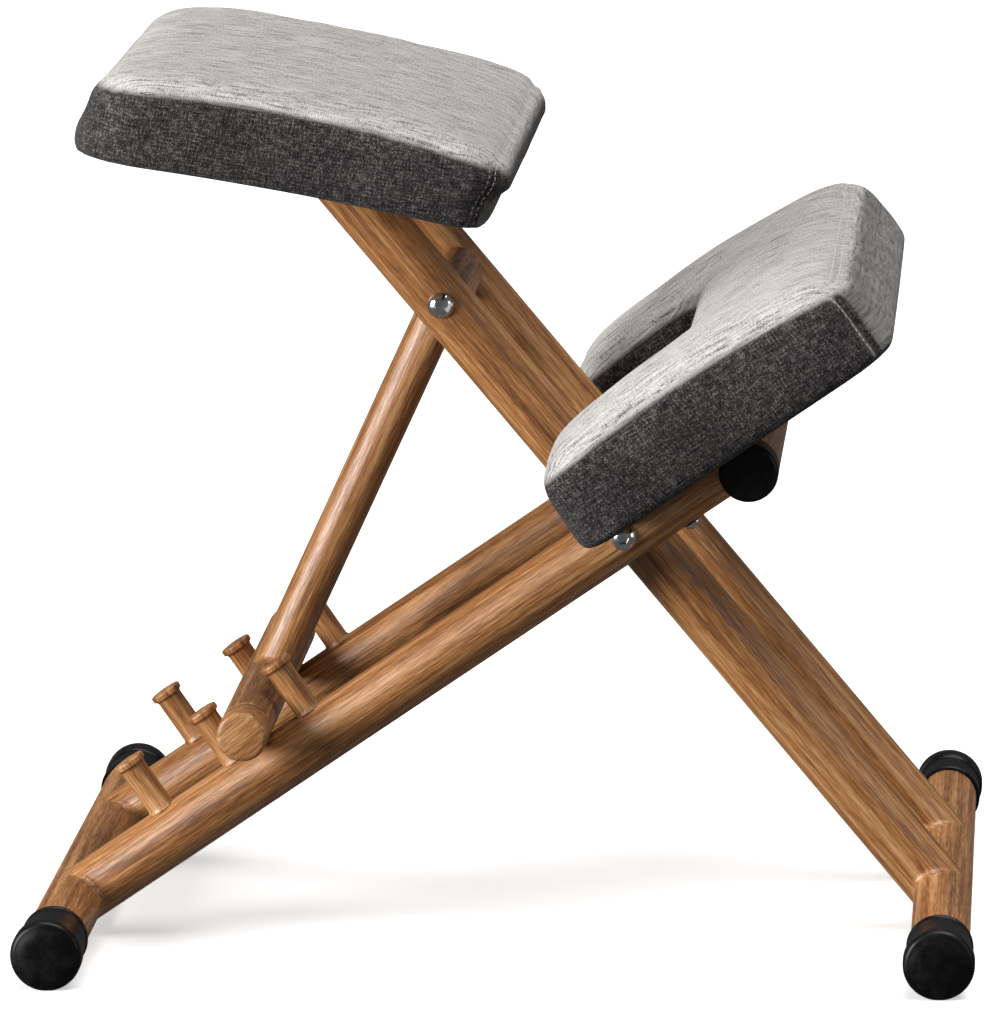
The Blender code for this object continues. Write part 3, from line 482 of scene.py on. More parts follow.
def woven_cloth():
    """Heather cloth on the cover's UV map: slubby yarns, pale on top and charcoal at the sides, mixed by
    the shade attribute, which holds the cloth's two tones and painted shade.
    """
    cloth = bpy.context.scene.chair_cloth
    finish, tree, shader = start_material(
        "woven_cloth", Roughness=0.95, Specular_IOR_Level=0.1, Sheen_Weight=0.06, Sheen_Roughness=0.5
    )
    where = add_node(tree, "ShaderNodeUVMap", uv_map="weave").outputs["UV"]

    def stretched(x, y):
        return add_node(tree, "ShaderNodeMapping", {"Vector": where, "Scale": (x, y, 1)}).outputs[0]

    per_yarn = 1 / cloth.yarn
    split = add_node(tree, "ShaderNodeSeparateXYZ", {"Vector": stretched(per_yarn, per_yarn)})
    waves = []
    for axis in ("X", "Y"):
        turn = times(tree, split.outputs[axis], math.pi)
        waves.append(add_node(tree, "ShaderNodeMath", {0: turn}, operation="SINE").outputs[0])
    over = spread(tree, times(tree, waves[0], waves[1]), -0.3, 0.3)
    warp = noise_at(tree, stretched(0.16 * per_yarn, 0.95 * per_yarn), 2, 0.7, 0.2)
    weft = noise_at(tree, stretched(0.95 * per_yarn, 0.2 * per_yarn), 2, 0.7, 0.2)
    yarns = add_node(tree, "ShaderNodeMix", {"Factor": over, "A": warp, "B": weft}).outputs[0]
    slubs = noise_at(tree, stretched(0.045 * per_yarn, 0.5 * per_yarn), 3, 0.7, 0.3)
    patches = noise_at(tree, where, 3, 0.6, 0.3, 22)
    flecks = spread(tree, yarns, 0.3, 0.7, -0.5, 0.5)
    drawn = spread(tree, slubs, 0.3, 0.7, -0.5, 0.5)
    cloudy = spread(tree, patches, 0.3, 0.7, -0.5, 0.5)
    tone = sum_of(tree, times(tree, flecks, 0.85), times(tree, drawn, 0.95))
    tone = sum_of(tree, sum_of(tree, tone, times(tree, cloudy, 0.14)), 0.5)
    pale_mid = [0.62 * light + 0.38 * dark for light, dark in zip(cloth.light, cloth.dark)]
    pale = ramp(tree, tone, [(0.0, cloth.dark), (0.42, pale_mid), (0.9, cloth.light)])
    rib = sum_of(tree, times(tree, flecks, 1.15), times(tree, cloudy, 0.2))
    rib = sum_of(tree, rib, 0.46)
    low, mid, high = ([share * c for c in cloth.dark] for share in (0.06, 0.32, 1.35))
    charcoal = ramp(tree, rib, [(0.05, low), (0.5, mid), (0.95, high)])
    # The shade attribute mixes pale cloth and charcoal: partly the cover's two tones, partly painted
    # shade on the ends, under the top edge and underneath.
    tone_and_shade = add_node(tree, "ShaderNodeAttribute", attribute_name="shade").outputs["Fac"]
    ragged_tone_and_shade = sum_of(tree, tone_and_shade, times(tree, cloudy, 0.22))
    ragged_tone_and_shade = sum_of(tree, ragged_tone_and_shade, times(tree, flecks, 0.2))
    depth = spread(tree, ragged_tone_and_shade, 0.06, 0.72)
    colour = add_node(tree, "ShaderNodeMix", {"Factor": depth}, data_type="RGBA")
    tree.links.new(pale, colour.inputs[6])
    tree.links.new(charcoal, colour.inputs[7])
    tree.links.new(colour.outputs[2], shader.inputs["Base Color"])
    crown = sum_of(
        tree,
        add_node(tree, "ShaderNodeMath", {0: waves[0]}, operation="ABSOLUTE").outputs[0],
        add_node(tree, "ShaderNodeMath", {0: waves[1]}, operation="ABSOLUTE").outputs[0],
        "MULTIPLY",
    )
    fuzz = noise_at(tree, stretched(per_yarn, per_yarn), 4, 0.8, 0.2, 0.9)
    relief = sum_of(tree, times(tree, crown, 0.5), sum_of(tree, fuzz, yarns))
    bump(tree, shader, relief, 0.5 * MM, 0.9)
    return finish


def stitching():
    """Twisted polyester thread."""
    finish, tree, shader = start_material("stitching_thread", Roughness=0.6, Sheen_Weight=0.3)
    colour = bpy.context.scene.chair_cloth.thread
    twist = noise_at(tree, local_coordinates(tree), 2, 0.5, 0, 1800)
    shaded = [0.7 * c for c in colour]
    tree.links.new(ramp(tree, twist, [(0.35, shaded), (0.6, colour)]), shader.inputs["Base Color"])
    bump(tree, shader, twist, 0.1 * MM, 0.7)
    return finish


def finish_named(name, make, *values):
    """The material of this name, made the first time that it is asked for."""
    return bpy.data.materials.get(name) or make(*values)


def knee_wood():
    return finish_named("wood_film_knee", wood_film, "wood_film_knee", KNEE)


def seat_wood():
    return finish_named("wood_film_seat", wood_film, "wood_film_seat", SEAT)


def strut_wood():
    return finish_named("wood_film_strut", wood_film, "wood_film_strut", STRUT)


def bar_wood(name, origin):
    """Film with its grain along a cross bar."""
    place = Matrix.Translation(origin) @ Matrix.Rotation(math.pi / 2, 4, "Z")
    return finish_named(name, wood_film, name, place)


def black():
    return finish_named("cap_plastic", cap_plastic)


def chrome():
    colour = bpy.context.scene.chair_hardware.chrome
    return finish_named("chrome", polished_steel, "chrome", colour, 0.08, 0.24)


# The chair's pieces


class CHAIR_OT_frame_tubes(bpy.types.Operator):
    """Make the foot bars, rails, cross bars and strut, each trimmed to the tube that it is welded to"""

    bl_idname = "chair.frame_tubes"
    bl_label = "Frame tubes"

    def execute(self, context):
        rear_wood = bar_wood("wood_film_rear_bar", REAR_FOOT)
        front_wood = bar_wood("wood_film_front_bar", FRONT_FOOT)
        cross_wood = bar_wood("wood_film_cross_bar", middle("knee_cross_bar"))
        t_wood = bar_wood("wood_film_t_bar", STRUT_FOOT)
        self.bar("rear_foot_bar", "knee_frame", rear_wood)
        self.bar("front_foot_bar", "seat_frame", front_wood)
        self.bar("knee_cross_bar", "knee_frame", cross_wood)
        self.bar("t_bar", "strut", t_wood)
        self.bar("strut_sleeve", "strut", t_wood, bore=True)
        for side_name, side in SIDES:
            knee_rail = self.tube(KNEE, side * KNEE_RAIL_Y, 0, KNEE_RAIL_LENGTH)
            self.cope(knee_rail, REAR_FOOT, TUBE_R)
            self.cope(knee_rail, middle("knee_cross_bar"), TUBE_R)
            name = f"knee_rail_{side_name}"
            hand_over(knee_rail, name, "knee_frame", knee_wood(), [name])
            name = f"seat_rail_{side_name}"
            top = span(name, SEAT)[1].x + TUBE_R
            seat_rail = self.tube(SEAT, side * SEAT_RAIL_Y, 0, top)
            self.cope(seat_rail, FRONT_FOOT, TUBE_R)
            pan_up = PAN.to_3x3().col[2]
            plate_bottom = PAN @ Vector((0, 0, span("seat_plate", PAN)[0].z))
            shave(seat_rail, plate_bottom, pan_up)
            hand_over(seat_rail, name, "seat_frame", seat_wood(), [name])
        self.strut_tube()
        return {"FINISHED"}

    def tube(self, place, y, start, end):
        return put(turned([(TUBE_R, start), (TUBE_R, end)]), along_x(place, y))

    def bar(self, node, body, finish, bore=False):
        """A bar across the chair with softened ends."""
        low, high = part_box(node)
        radius, half = (high.x - low.x) / 2, (high.y - low.y) / 2
        edge = 0.6 * MM
        profile = [(radius - edge, -half), (radius, edge - half)]
        profile += [(radius, half - edge), (radius - edge, half)]
        if bore:
            inner = 0.82 * radius
            profile = [(inner, -half)] + profile + [(inner, half), (inner, half - 8 * MM)]
            profile = [(inner, 8 * MM - half)] + profile
        made = put(turned(profile), along_y(Matrix.Translation(middle(node)), 0, 0, 0))
        hand_over(made, node, body, finish, [node])

    def cope(self, rail, bar_middle, radius):
        """Trims a rail's end to the round of the bar that it meets."""
        cutter = turned([(radius, -0.3), (radius, 0.3)])
        carve(rail, put(cutter, along_y(Matrix.Translation(bar_middle), 0, 0, 0)))

    def strut_tube(self):
        low, high = span("strut_tube", STRUT)
        radius = (high.y - low.y) / 2
        reach = (STRUT_FOOT - STRUT_TOP).length
        made = turned([(radius, 0), (radius, reach)])
        made = put(made, along_x(STRUT))
        for node in ("strut_sleeve", "t_bar"):
            self.cope(made, middle(node), round_radius(node))
        hand_over(made, "strut_tube", "strut", strut_wood(), ["strut_tube"])


class CHAIR_OT_weld_beads(bpy.types.Operator):
    """Lay a bead under the film round each joint of the tubes"""

    bl_idname = "chair.weld_beads"
    bl_label = "Weld beads"

    def execute(self, context):
        knee_bar = middle("knee_cross_bar")
        strut_r = (span("strut_tube", STRUT)[1].y - span("strut_tube", STRUT)[0].y) / 2
        sleeve_r, t_bar_r = round_radius("strut_sleeve"), round_radius("t_bar")
        rise, fall = KNEE.to_3x3().col[0], -KNEE.to_3x3().col[0]
        for side_name, side in SIDES:
            y = side * KNEE_RAIL_Y
            rear = Vector((REAR_FOOT.x, y, REAR_FOOT.z))
            front = Vector((knee_bar.x, y, knee_bar.z))
            for name, end, way in (("rear_weld", rear, rise), ("knee_bar_weld", front, fall)):
                name = f"{name}_{side_name}"
                self.bead(name, end, way, TUBE_R, TUBE_R, "knee_frame", knee_wood())
            foot = Vector((FRONT_FOOT.x, side * SEAT_RAIL_Y, FRONT_FOOT.z))
            up = SEAT.to_3x3().col[0]
            self.bead(f"front_weld_{side_name}", foot, up, TUBE_R, TUBE_R, "seat_frame", seat_wood())
        down = STRUT.to_3x3().col[0]
        self.bead("sleeve_weld", STRUT_TOP, down, sleeve_r, strut_r, "strut", strut_wood())
        self.bead("t_bar_weld", STRUT_FOOT, -down, t_bar_r, strut_r, "strut", strut_wood())
        return {"FINISHED"}

    def bead(self, name, centre, direction, bar_r, tube_r, body, finish):
        """The hollow bead where a tube going this way leaves the bar that lies across it.

        Its face is the path of a ball that rolls round the corner and touches both tubes.
        """
        ball = bpy.context.scene.chair_wood.bead
        across = Vector((0, 1, 0))
        turn = Matrix((direction, across, direction.cross(across))).transposed()
        steps, arc = 96, 6
        points, faces = [], []
        for step in range(steps):
            angle = math.tau * step / steps
            y, h = (tube_r + ball) * math.cos(angle), (tube_r + ball) * math.sin(angle)
            d = math.sqrt(max((bar_r + ball) ** 2 - h**2, 0))
            ball_centre = Vector((d, y, h))
            to_bar = Vector((-d, 0, -h)).normalized()
            to_tube = Vector((0, -y, -h)).normalized()
            ring = [to_bar * (ball + 0.4 * MM)]
            for i in range(arc + 1):
                ring.append(to_bar.lerp(to_tube, i / arc).normalized() * ball)
            ring.append(to_tube * (ball + 0.4 * MM))
            ring.append((to_bar + to_tube) * (ball + 1 * MM) / (1 + max(to_bar.dot(to_tube), 0)))
            points += [centre + turn @ (ball_centre + offset) for offset in ring]
        count = arc + 4
        for step in range(steps):
            for i in range(count):
                here, there = step * count, (step + 1) % steps * count
                j = (i + 1) % count
                faces.append((here + i, here + j, there + j, there + i))
        made = built(name, points, faces)
        take(made)
        bpy.ops.object.mode_set(mode="EDIT")
        bpy.ops.mesh.select_all(action="SELECT")
        bpy.ops.mesh.remove_doubles(threshold=1e-6)
        bpy.ops.mesh.normals_make_consistent(inside=False)
        bpy.ops.object.mode_set(mode="OBJECT")
        hand_over(made, name, body, finish)


class CHAIR_OT_pegs(bpy.types.Operator):
    """Make the six mushroom-headed pegs that the strut's cross bar stands against"""

    bl_idname = "chair.pegs"
    bl_label = "Pegs"

    def execute(self, context):
        for height in ("low", "middle", "high"):
            for side_name, _ in SIDES:
                self.peg(f"peg_{height}_{side_name}")
        return {"FINISHED"}

    def peg(self, name):
        low, high = span(name, KNEE)
        centre = (low + high) / 2
        head_r = (high.x - low.x) / 2
        neck_r = 0.79 * head_r
        head_t = 0.47 * head_r
        top, bottom = high.z, TUBE_R - 5 * MM
        under = top - head_t
        profile = [(neck_r, bottom), (neck_r + 1.2 * MM, TUBE_R - 1.0 * MM)]
        profile += [(neck_r + 0.5 * MM, TUBE_R + 0.6 * MM), (neck_r, TUBE_R + 1.6 * MM)]
        profile += [(neck_r, under - 1.6 * MM), (neck_r + 0.3 * MM, under - 0.6 * MM)]
        profile += [(neck_r + 0.9 * MM, under), (head_r - 0.9 * MM, under + 0.3 * MM)]
        profile += [(head_r - 0.2 * MM, under + 0.8 * MM)]
        profile += rounded(head_r, top - 0.5 * MM, 1.4 * MM, 4)
        profile += [(0.6 * head_r, top - 0.1 * MM), (0.12 * head_r, top)]
        made = put(turned(profile, SMALL_ROUND), KNEE @ Matrix.Translation((centre.x, centre.y, 0)))
        finish = finish_named("wood_film_pegs", wood_film, "wood_film_pegs", self.upright())
        hand_over(made, name, "knee_frame", finish, [name])

    def upright(self):
        """Grain runs up the pegs, square to the rails."""
        return KNEE @ Matrix.Rotation(-math.pi / 2, 4, "Y")


class CHAIR_OT_t_bar_ends(bpy.types.Operator):
    """Make the strut cross bar's wood-look plugs and the black rings behind them, whose black is painted
    shade for the groove between bar and plug
    """

    bl_idname = "chair.t_bar_ends"
    bl_label = "Cross bar plugs and rings"

    def execute(self, context):
        place = Matrix.Translation(STRUT_FOOT)
        slant = Matrix.Translation(STRUT_FOOT) @ Matrix.Rotation(math.radians(-38), 4, "Y")
        end_grain = finish_named("wood_film_plugs", wood_film, "wood_film_plugs", slant)
        for side_name, side in SIDES:
            name = f"t_bar_plug_{side_name}"
            ring_name = f"t_bar_ring_{side_name}"
            radius, ring_r = round_radius(name), round_radius(ring_name)
            face = reach_of(*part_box(name))[1]
            inner, outer = reach_of(*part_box(ring_name))
            start = outer + 0.3 * MM
            profile = [(0.6 * radius, start), (radius - 0.7 * MM, start), (radius, start + 0.7 * MM)]
            profile += rounded(radius, face - 0.5 * MM, 3.2 * MM, 6)
            profile += [(0.55 * radius, face - 0.1 * MM), (0.1 * radius, face)]
            plug = put(turned(profile, ROUND), along_y(place, 0, 0, 0, side))
            hand_over(plug, name, "strut", end_grain, [name])
            profile = [(ring_r - 0.5 * MM, inner), (ring_r, inner + 0.5 * MM), (ring_r, outer - 0.5 * MM)]
            profile += [(ring_r - 0.5 * MM, outer)]
            ring = put(turned(profile, ROUND), along_y(place, 0, 0, 0, side))
            # The ring's black plastic is painted shade: it fills the shadowed groove between bar and
            # plug.
            hand_over(ring, ring_name, "strut", black(), [ring_name])
        return {"FINISHED"}


class CHAIR_OT_caps(bpy.types.Operator):
    """Make the foot caps, flat where they stand on the floor, and the knee cross bar's caps"""

    bl_idname = "chair.caps"
    bl_label = "Foot caps and bar caps"

    def execute(self, context):
        feet = (("rear", "knee_frame", REAR_FOOT), ("front", "seat_frame", FRONT_FOOT))
        for foot, body, centre in feet:
            for side_name, side in SIDES:
                self.foot_cap(f"{foot}_foot_cap_{side_name}", body, centre, side)
        for side_name, side in SIDES:
            self.bar_cap(f"knee_bar_cap_{side_name}", side)
        return {"FINISHED"}

    def foot_cap(self, name, body, centre, side):
        """A sleeve with a lip, then a wider disc with a rounded rim and a domed end."""
        disc_r = round_radius(name)
        start, end = reach_of(*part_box(name))
        sleeve_r = TUBE_R + 1.6 * MM
        shoulder = start + 35 * MM
        dome = 3.0 * MM
        flat = end - dome
        profile = [(TUBE_R - 1 * MM, start), (sleeve_r + 0.2 * MM, start)]
        profile += [(sleeve_r + 0.9 * MM, start + 0.7 * MM)]
        profile += [(sleeve_r + 0.9 * MM, start + 2.6 * MM), (sleeve_r + 0.1 * MM, start + 3.5 * MM)]
        profile += [(sleeve_r, shoulder - 2.5 * MM), (sleeve_r + 0.3 * MM, shoulder - 1.0 * MM)]
        profile += [(disc_r - 1.2 * MM, shoulder - 0.3 * MM), (disc_r - 0.3 * MM, shoulder + 0.4 * MM)]
        profile += [(disc_r, shoulder + 1.6 * MM)]
        profile += rounded(disc_r, flat + 0.6 * MM, 4.2 * MM, 7)
        profile += [(0.72 * disc_r, flat + 0.45 * dome + 0.5 * MM), (0.5 * disc_r, flat + 0.75 * dome)]
        profile += [(0.25 * disc_r, flat + 0.94 * dome), (0.05 * disc_r, end)]
        cap = put(turned(profile), along_y(Matrix.Translation(centre), 0, 0, 0, side))
        shave(cap, (0, 0, 0), (0, 0, -1))
        hand_over(cap, name, body, black(), [name])

    def bar_cap(self, name, side):
        end = reach_of(*span(name, KNEE))[1]
        start = end - 23 * MM
        profile = [(TUBE_R - 1.5 * MM, start), (TUBE_R + 0.1 * MM, start + 0.4 * MM)]
        profile += rounded(TUBE_R + 0.1 * MM, end - 0.7 * MM, 3.5 * MM, 6)
        profile += [(0.6 * TUBE_R, end - 0.2 * MM), (0.08 * TUBE_R, end)]
        cap = put(turned(profile), along_y(KNEE, KNEE_RAIL_LENGTH, 0, 0, side))
        hand_over(cap, name, "knee_frame", black(), [name])


class CHAIR_OT_bolts(bpy.types.Operator):
    """Make the button-head bolts and screws, each with its hex socket"""

    bl_idname = "chair.bolts"
    bl_label = "Bolts and screws"

    def execute(self, context):
        for side_name, side in SIDES:
            head_face = span(f"knee_rail_{side_name}", KNEE)
            outer = max(abs(head_face[0].y), abs(head_face[1].y))
            pivot = along_y(KNEE, PIVOT_ALONG_KNEE, side * outer, 0, side)
            self.bolt(f"pivot_bolt_{side_name}", "knee_frame", pivot)
            for kind in ("rail", "bar"):
                name = f"knee_{kind}_bolt_{side_name}"
                low, high = span(name, KNEE)
                centre = (low + high) / 2
                place = KNEE @ Matrix.Translation((centre.x, centre.y, -TUBE_R))
                self.bolt(name, "knee_frame", place @ Matrix.Rotation(math.pi, 4, "X"))
            for end in ("front", "rear"):
                name = f"seat_screw_{end}_{side_name}"
                low, high = span(name, PAN)
                centre = (low + high) / 2
                under = span("seat_plate", PAN)[0].z
                place = PAN @ Matrix.Translation((centre.x, centre.y, under))
                self.bolt(name, "seat_frame", place @ Matrix.Rotation(math.pi, 4, "X"))
        outer = SEAT_RAIL_Y + TUBE_R
        self.bolt("strut_bolt", "seat_frame", along_y(Matrix.Translation(STRUT_TOP), 0, -outer, 0, -1))
        return {"FINISHED"}

    def bolt(self, name, body, place):
        """A bolt whose head stands on the place's origin, with its shaft below."""
        low, high = span(name, place)
        head_r = (high.x - low.x) / 2
        top = high.z
        shaft_r = 0.48 * head_r
        flange = 0.16 * top
        profile = [(shaft_r - 0.5 * MM, low.z), (shaft_r, low.z + 0.6 * MM), (shaft_r, 0)]
        profile += [(head_r - 0.15 * MM, 0), (head_r, 0.15 * MM), (head_r, flange)]
        first, last = math.radians(12), math.radians(72)
        for step in range(1, 8):
            angle = first + (last - first) * step / 7
            rise = (math.sin(angle) - math.sin(first)) / (math.sin(last) - math.sin(first))
            out = head_r * math.cos(angle) / math.cos(first)
            profile.append((out, flange + (top - flange) * rise))
        made = turned(profile, SMALL_ROUND)
        socket = turned([(0.46 * head_r, top - 0.62 * top), (0.46 * head_r, top + 5 * MM)], 6)
        carve(made, socket)
        soften(made, 0.12 * MM, 2)
        hand_over(put(made, place), name, body, chrome(), [name])


class CHAIR_OT_nuts(bpy.types.Operator):
    """Make the domed nuts on the pivot bolts and on the strut's bolt"""

    bl_idname = "chair.nuts"
    bl_label = "Domed nuts"

    def execute(self, context):
        for side_name, side in SIDES:
            face = SEAT_RAIL_Y - TUBE_R
            place = along_y(KNEE, PIVOT_ALONG_KNEE, side * face, 0, -side)
            self.nut(f"pivot_nut_{side_name}", "knee_frame", place)
        outer = SEAT_RAIL_Y + TUBE_R
        self.nut("strut_nut", "seat_frame", along_y(Matrix.Translation(STRUT_TOP), 0, outer, 0, 1))
        return {"FINISHED"}

    def nut(self, name, body, place):
        """A chamfered hexagon with a dome on it."""
        low, high = span(name, place)
        radius = (high.x - low.x) / 2
        top = high.z
        hexagon = turned([(0.93 * radius, low.z), (radius, low.z + 0.5 * MM), (radius, 0.55 * top),
                          (0.93 * radius, 0.55 * top + 0.5 * MM)], 6)
        dome_r = 0.8 * radius
        profile = [(dome_r, 0.3 * top)]
        for step in range(0, 9):
            angle = math.pi / 2 * step / 9
            profile.append((dome_r * math.cos(angle), 0.6 * top + 0.4 * top * math.sin(angle)))
        carve(hexagon, turned(profile, SMALL_ROUND), operation="UNION")
        soften(hexagon, 0.25 * MM, 2)
        hand_over(put(hexagon, place), name, body, chrome(), [name])


class CHAIR_OT_hidden_parts(bpy.types.Operator):
    """Give the seat plate, washers and bushes their finish"""

    bl_idname = "chair.hidden_parts"
    bl_label = "Plate, washers and bushes"

    def execute(self, context):
        zinc_colour = (0.6, 0.61, 0.63)
        zinc = polished_steel("zinc_plate", zinc_colour, 0.28, 0.5, (60, 900, 900))
        white = nylon()
        finishes = {"seat_plate": zinc}
        for side_name, _ in SIDES:
            finishes[f"pivot_bush_{side_name}"] = zinc
            finishes[f"pivot_washer_{side_name}"] = white
            finishes[f"sleeve_bush_{side_name}"] = white
        for node, finish in finishes.items():
            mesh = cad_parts[node].data
            mesh.materials.clear()
            mesh.materials.append(finish)
        return {"FINISHED"}


# Cushions


def rounded_outline(corners, inset, steps=8):
    """A closed outline through (x, y, radius) corners, each rounded, moved inwards by inset.

    The corners run anticlockwise. The inset makes an inward corner's radius larger and an outward
    one's smaller.
    """
    points, count = [], len(corners)
    for i in range(count):
        before, here, after = (Vector(corners[(i + k) % count][:2]) for k in (-1, 0, 1))
        into, out = (here - before).normalized(), (after - here).normalized()
        side = 1 if into.cross(out) > 0 else -1
        left_in, left_out = Vector((-into.y, into.x)), Vector((-out.y, out.x))
        bisector = (left_in + left_out).normalized()
        corner = here + bisector * (inset / bisector.dot(left_in))
        radius = max(corners[i][2] - side * inset, 1 * MM)
        bend = math.acos(max(-1, min(1, into.dot(out))))
        start = corner - into * radius * math.tan(bend / 2)
        centre = start + side * radius * left_in
        for step in range(steps + 1):
            points.append(centre + Matrix.Rotation(side * bend * step / steps, 2) @ (start - centre))
    return points


def knee_plan():
    """The knee rest's plan in the knee frame, read from its board's notch and its cushion's sides."""
    low, high = span("knee_cushion", KNEE)
    board = [KNEE.inverted() @ vert.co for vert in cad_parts["knee_board"].data.vertices]
    inset = span("knee_board", KNEE)[0].x - low.x
    notch_front = min(point.x for point in board if abs(point.y) < SEAT_RAIL_Y) - inset
    notch_half = min(abs(point.y) for point in board if point.x < PIVOT_ALONG_KNEE + TUBE_R) - inset
    left = [
        (high.x, high.y, 36 * MM),
        (low.x, high.y, 32 * MM),
        (low.x, notch_half + 5 * MM, 34 * MM),
        (notch_front, notch_half, 30 * MM),
    ]
    return left + [(x, -y, radius) for x, y, radius in left[::-1]]


def seat_plans():
    """The seat's plans at its hem and under its rounded top edge, whose front leans out over the hem."""
    low, high = span("seat_cushion", PAN)
    board_low, board_high = span("seat_board", PAN)
    hem_front = board_high.x + board_low.x - low.x
    plans = []
    for rear, front in ((low.x, hem_front), (low.x + 3.5 * MM, high.x)):
        plan = [(front, low.y, 30 * MM), (front, high.y, 30 * MM)]
        plan += [(rear, high.y, 50 * MM), (rear, low.y, 50 * MM)]
        plans.append(plan)
    return plans


def along(points, low, high):
    """How far each point lies along a cushion, from -1 at its rear to 1 at its front."""
    return (2 * points[:, 0] - low.x - high.x) / (high.x - low.x)


def smoothstep(value, low, high):
    share = np.clip((value - low) / (high - low), 0, 1)
    return share * share * (3 - 2 * share)


def loft(name, loops):
    """A closed skin over (outline, height) loops of equally many points, with both ends filled."""
    count = len(loops[0][0])
    points = [(p.x, p.y, height) for outline, height in loops for p in outline]
    faces = []
    for ring in range(len(loops) - 1):
        for i in range(count):
            here, there = ring * count + i, ring * count + (i + 1) % count
            faces.append((here, there, there + count, here + count))
    faces.append(tuple(range(count))[::-1])
    faces.append(tuple(range((len(loops) - 1) * count, len(loops) * count)))
    return built(name, points, faces)


def cushion_blank(name, hem, shoulder, bottom, upright, top, edge_r):
    """A closed slab from its hem's plan to its shoulder's, a little smaller, with a rounded top edge."""
    slim = 0.4 * MM
    rings = [(hem, slim + 5 * MM, bottom), (hem, slim + 1.5 * MM, bottom + 1.2 * MM)]
    rings += [(hem, slim, bottom + 4 * MM), (hem, slim, upright)]
    for inset, height in rounded(0, top, edge_r, 7):
        rings.append((shoulder, slim - inset, height))
    loops = [(rounded_outline(plan, inset), height) for plan, inset, height in rings]
    return loft(name, loops)


def points_of(piece):
    flat = np.empty(len(piece.data.vertices) * 3)
    piece.data.vertices.foreach_get("co", flat)
    return flat.reshape(-1, 3)


def set_points(piece, points):
    piece.data.vertices.foreach_set("co", points.ravel())
    piece.data.update()


def edge_distance(points, plan):
    """How far each point lies, in plan, from the plan's outline."""
    outline = np.array([tuple(point) for point in rounded_outline(plan, 0)])
    following = np.roll(outline, -1, axis=0)
    best = np.full(len(points), 1e9)
    for a, b in zip(outline, following):
        step = b - a
        share = np.clip(((points[:, :2] - a) @ step) / max(step @ step, 1e-12), 0, 1)
        best = np.minimum(best, np.linalg.norm(points[:, :2] - (a + share[:, None] * step), axis=1))
    return best


def remesh(piece, voxel):
    take(piece)
    modifier = piece.modifiers.new("cover", "REMESH")
    modifier.mode = "VOXEL"
    modifier.voxel_size = voxel
    bpy.ops.object.modifier_apply(modifier=modifier.name)


def stuff(piece, held_below):
    """Swells the cover by a cloth simulation, held at its hem, and keeps each point near its start."""
    cloth = bpy.context.scene.chair_cloth
    before = points_of(piece)
    hem = piece.vertex_groups.new(name="hem")
    hem.add([int(i) for i in np.nonzero(before[:, 2] < held_below)[0]], 1.0, "REPLACE")
    take(piece)
    modifier = piece.modifiers.new("stuffing", "CLOTH")
    settings = modifier.settings
    settings.quality = 4
    settings.mass = 0.3
    settings.tension_stiffness = settings.compression_stiffness = 18
    settings.shear_stiffness = 8
    settings.bending_stiffness = 1.2
    settings.use_pressure = True
    settings.uniform_pressure_force = cloth.pressure
    settings.vertex_group_mass = hem.name
    settings.effector_weights.gravity = 0
    modifier.point_cache.frame_start = 1
    modifier.point_cache.frame_end = cloth.frames
    for step in range(1, cloth.frames + 1):
        bpy.context.scene.frame_set(step)
    bpy.ops.object.modifier_apply(modifier=modifier.name)
    bpy.context.scene.frame_set(1)
    moved = points_of(piece) - before
    length = np.linalg.norm(moved, axis=1, keepdims=True)
    most = cloth.swell
    eased = most * np.tanh(length / most)
    set_points(piece, before + moved * eased / np.maximum(length, 1e-9))
    piece.vertex_groups.clear()


def subdivide(piece):
    take(piece)
    modifier = piece.modifiers.new("smooth_cover", "SUBSURF")
    modifier.levels = modifier.render_levels = 1
    bpy.ops.object.modifier_apply(modifier=modifier.name)


def even_path(points, spacing, closed=False):
    """The same path with its points this far apart."""
    points = [Vector(point) for point in points]
    if closed:
        points.append(points[0])
    walked = [0.0]
    for a, b in zip(points, points[1:]):
        walked.append(walked[-1] + (b - a).length)
    count = max(2, round(walked[-1] / spacing))
    stops = [walked[-1] * i / count for i in range(count + (0 if closed else 1))]
    even, i = [], 0
    for stop in stops:
        while walked[i + 1] < stop - 1e-9:
            i += 1
        share = (stop - walked[i]) / max(walked[i + 1] - walked[i], 1e-9)
        even.append(points[i].lerp(points[i + 1], share))
    return even


def press_seam(piece, path, width, depth):
    """Draws the cover in along a path, as the thread of a seam does."""
    tree = kdtree.KDTree(len(path))
    for i, point in enumerate(path):
        tree.insert(point, i)
    tree.balance()
    for vert in piece.data.vertices:
        _, _, away = tree.find(vert.co)
        if away < width:
            share = 1 - (away / width) ** 2
            vert.co -= vert.normal * depth * share * share
    piece.data.update()


def stitch_shape():
    """One stitch: a short thread that dips in at both ends, in stitch lengths, widths and heights."""
    points, faces = [], []
    stations = ((-1.0, 0.12), (-0.7, 0.72), (0.0, 1.0), (0.7, 0.72), (1.0, 0.12))
    for x, size in stations:
        for step in range(6):
            angle = math.tau * step / 6
            points.append((x, size * math.cos(angle), size * math.sin(angle) - 0.9 * x * x))
    for ring in range(len(stations) - 1):
        for step in range(6):
            a, b = ring * 6 + step, ring * 6 + (step + 1) % 6
            faces.append((a, b, b + 6, a + 6))
    faces.append(tuple(range(6))[::-1])
    faces.append(tuple(range(24, 30)))
    return points, faces


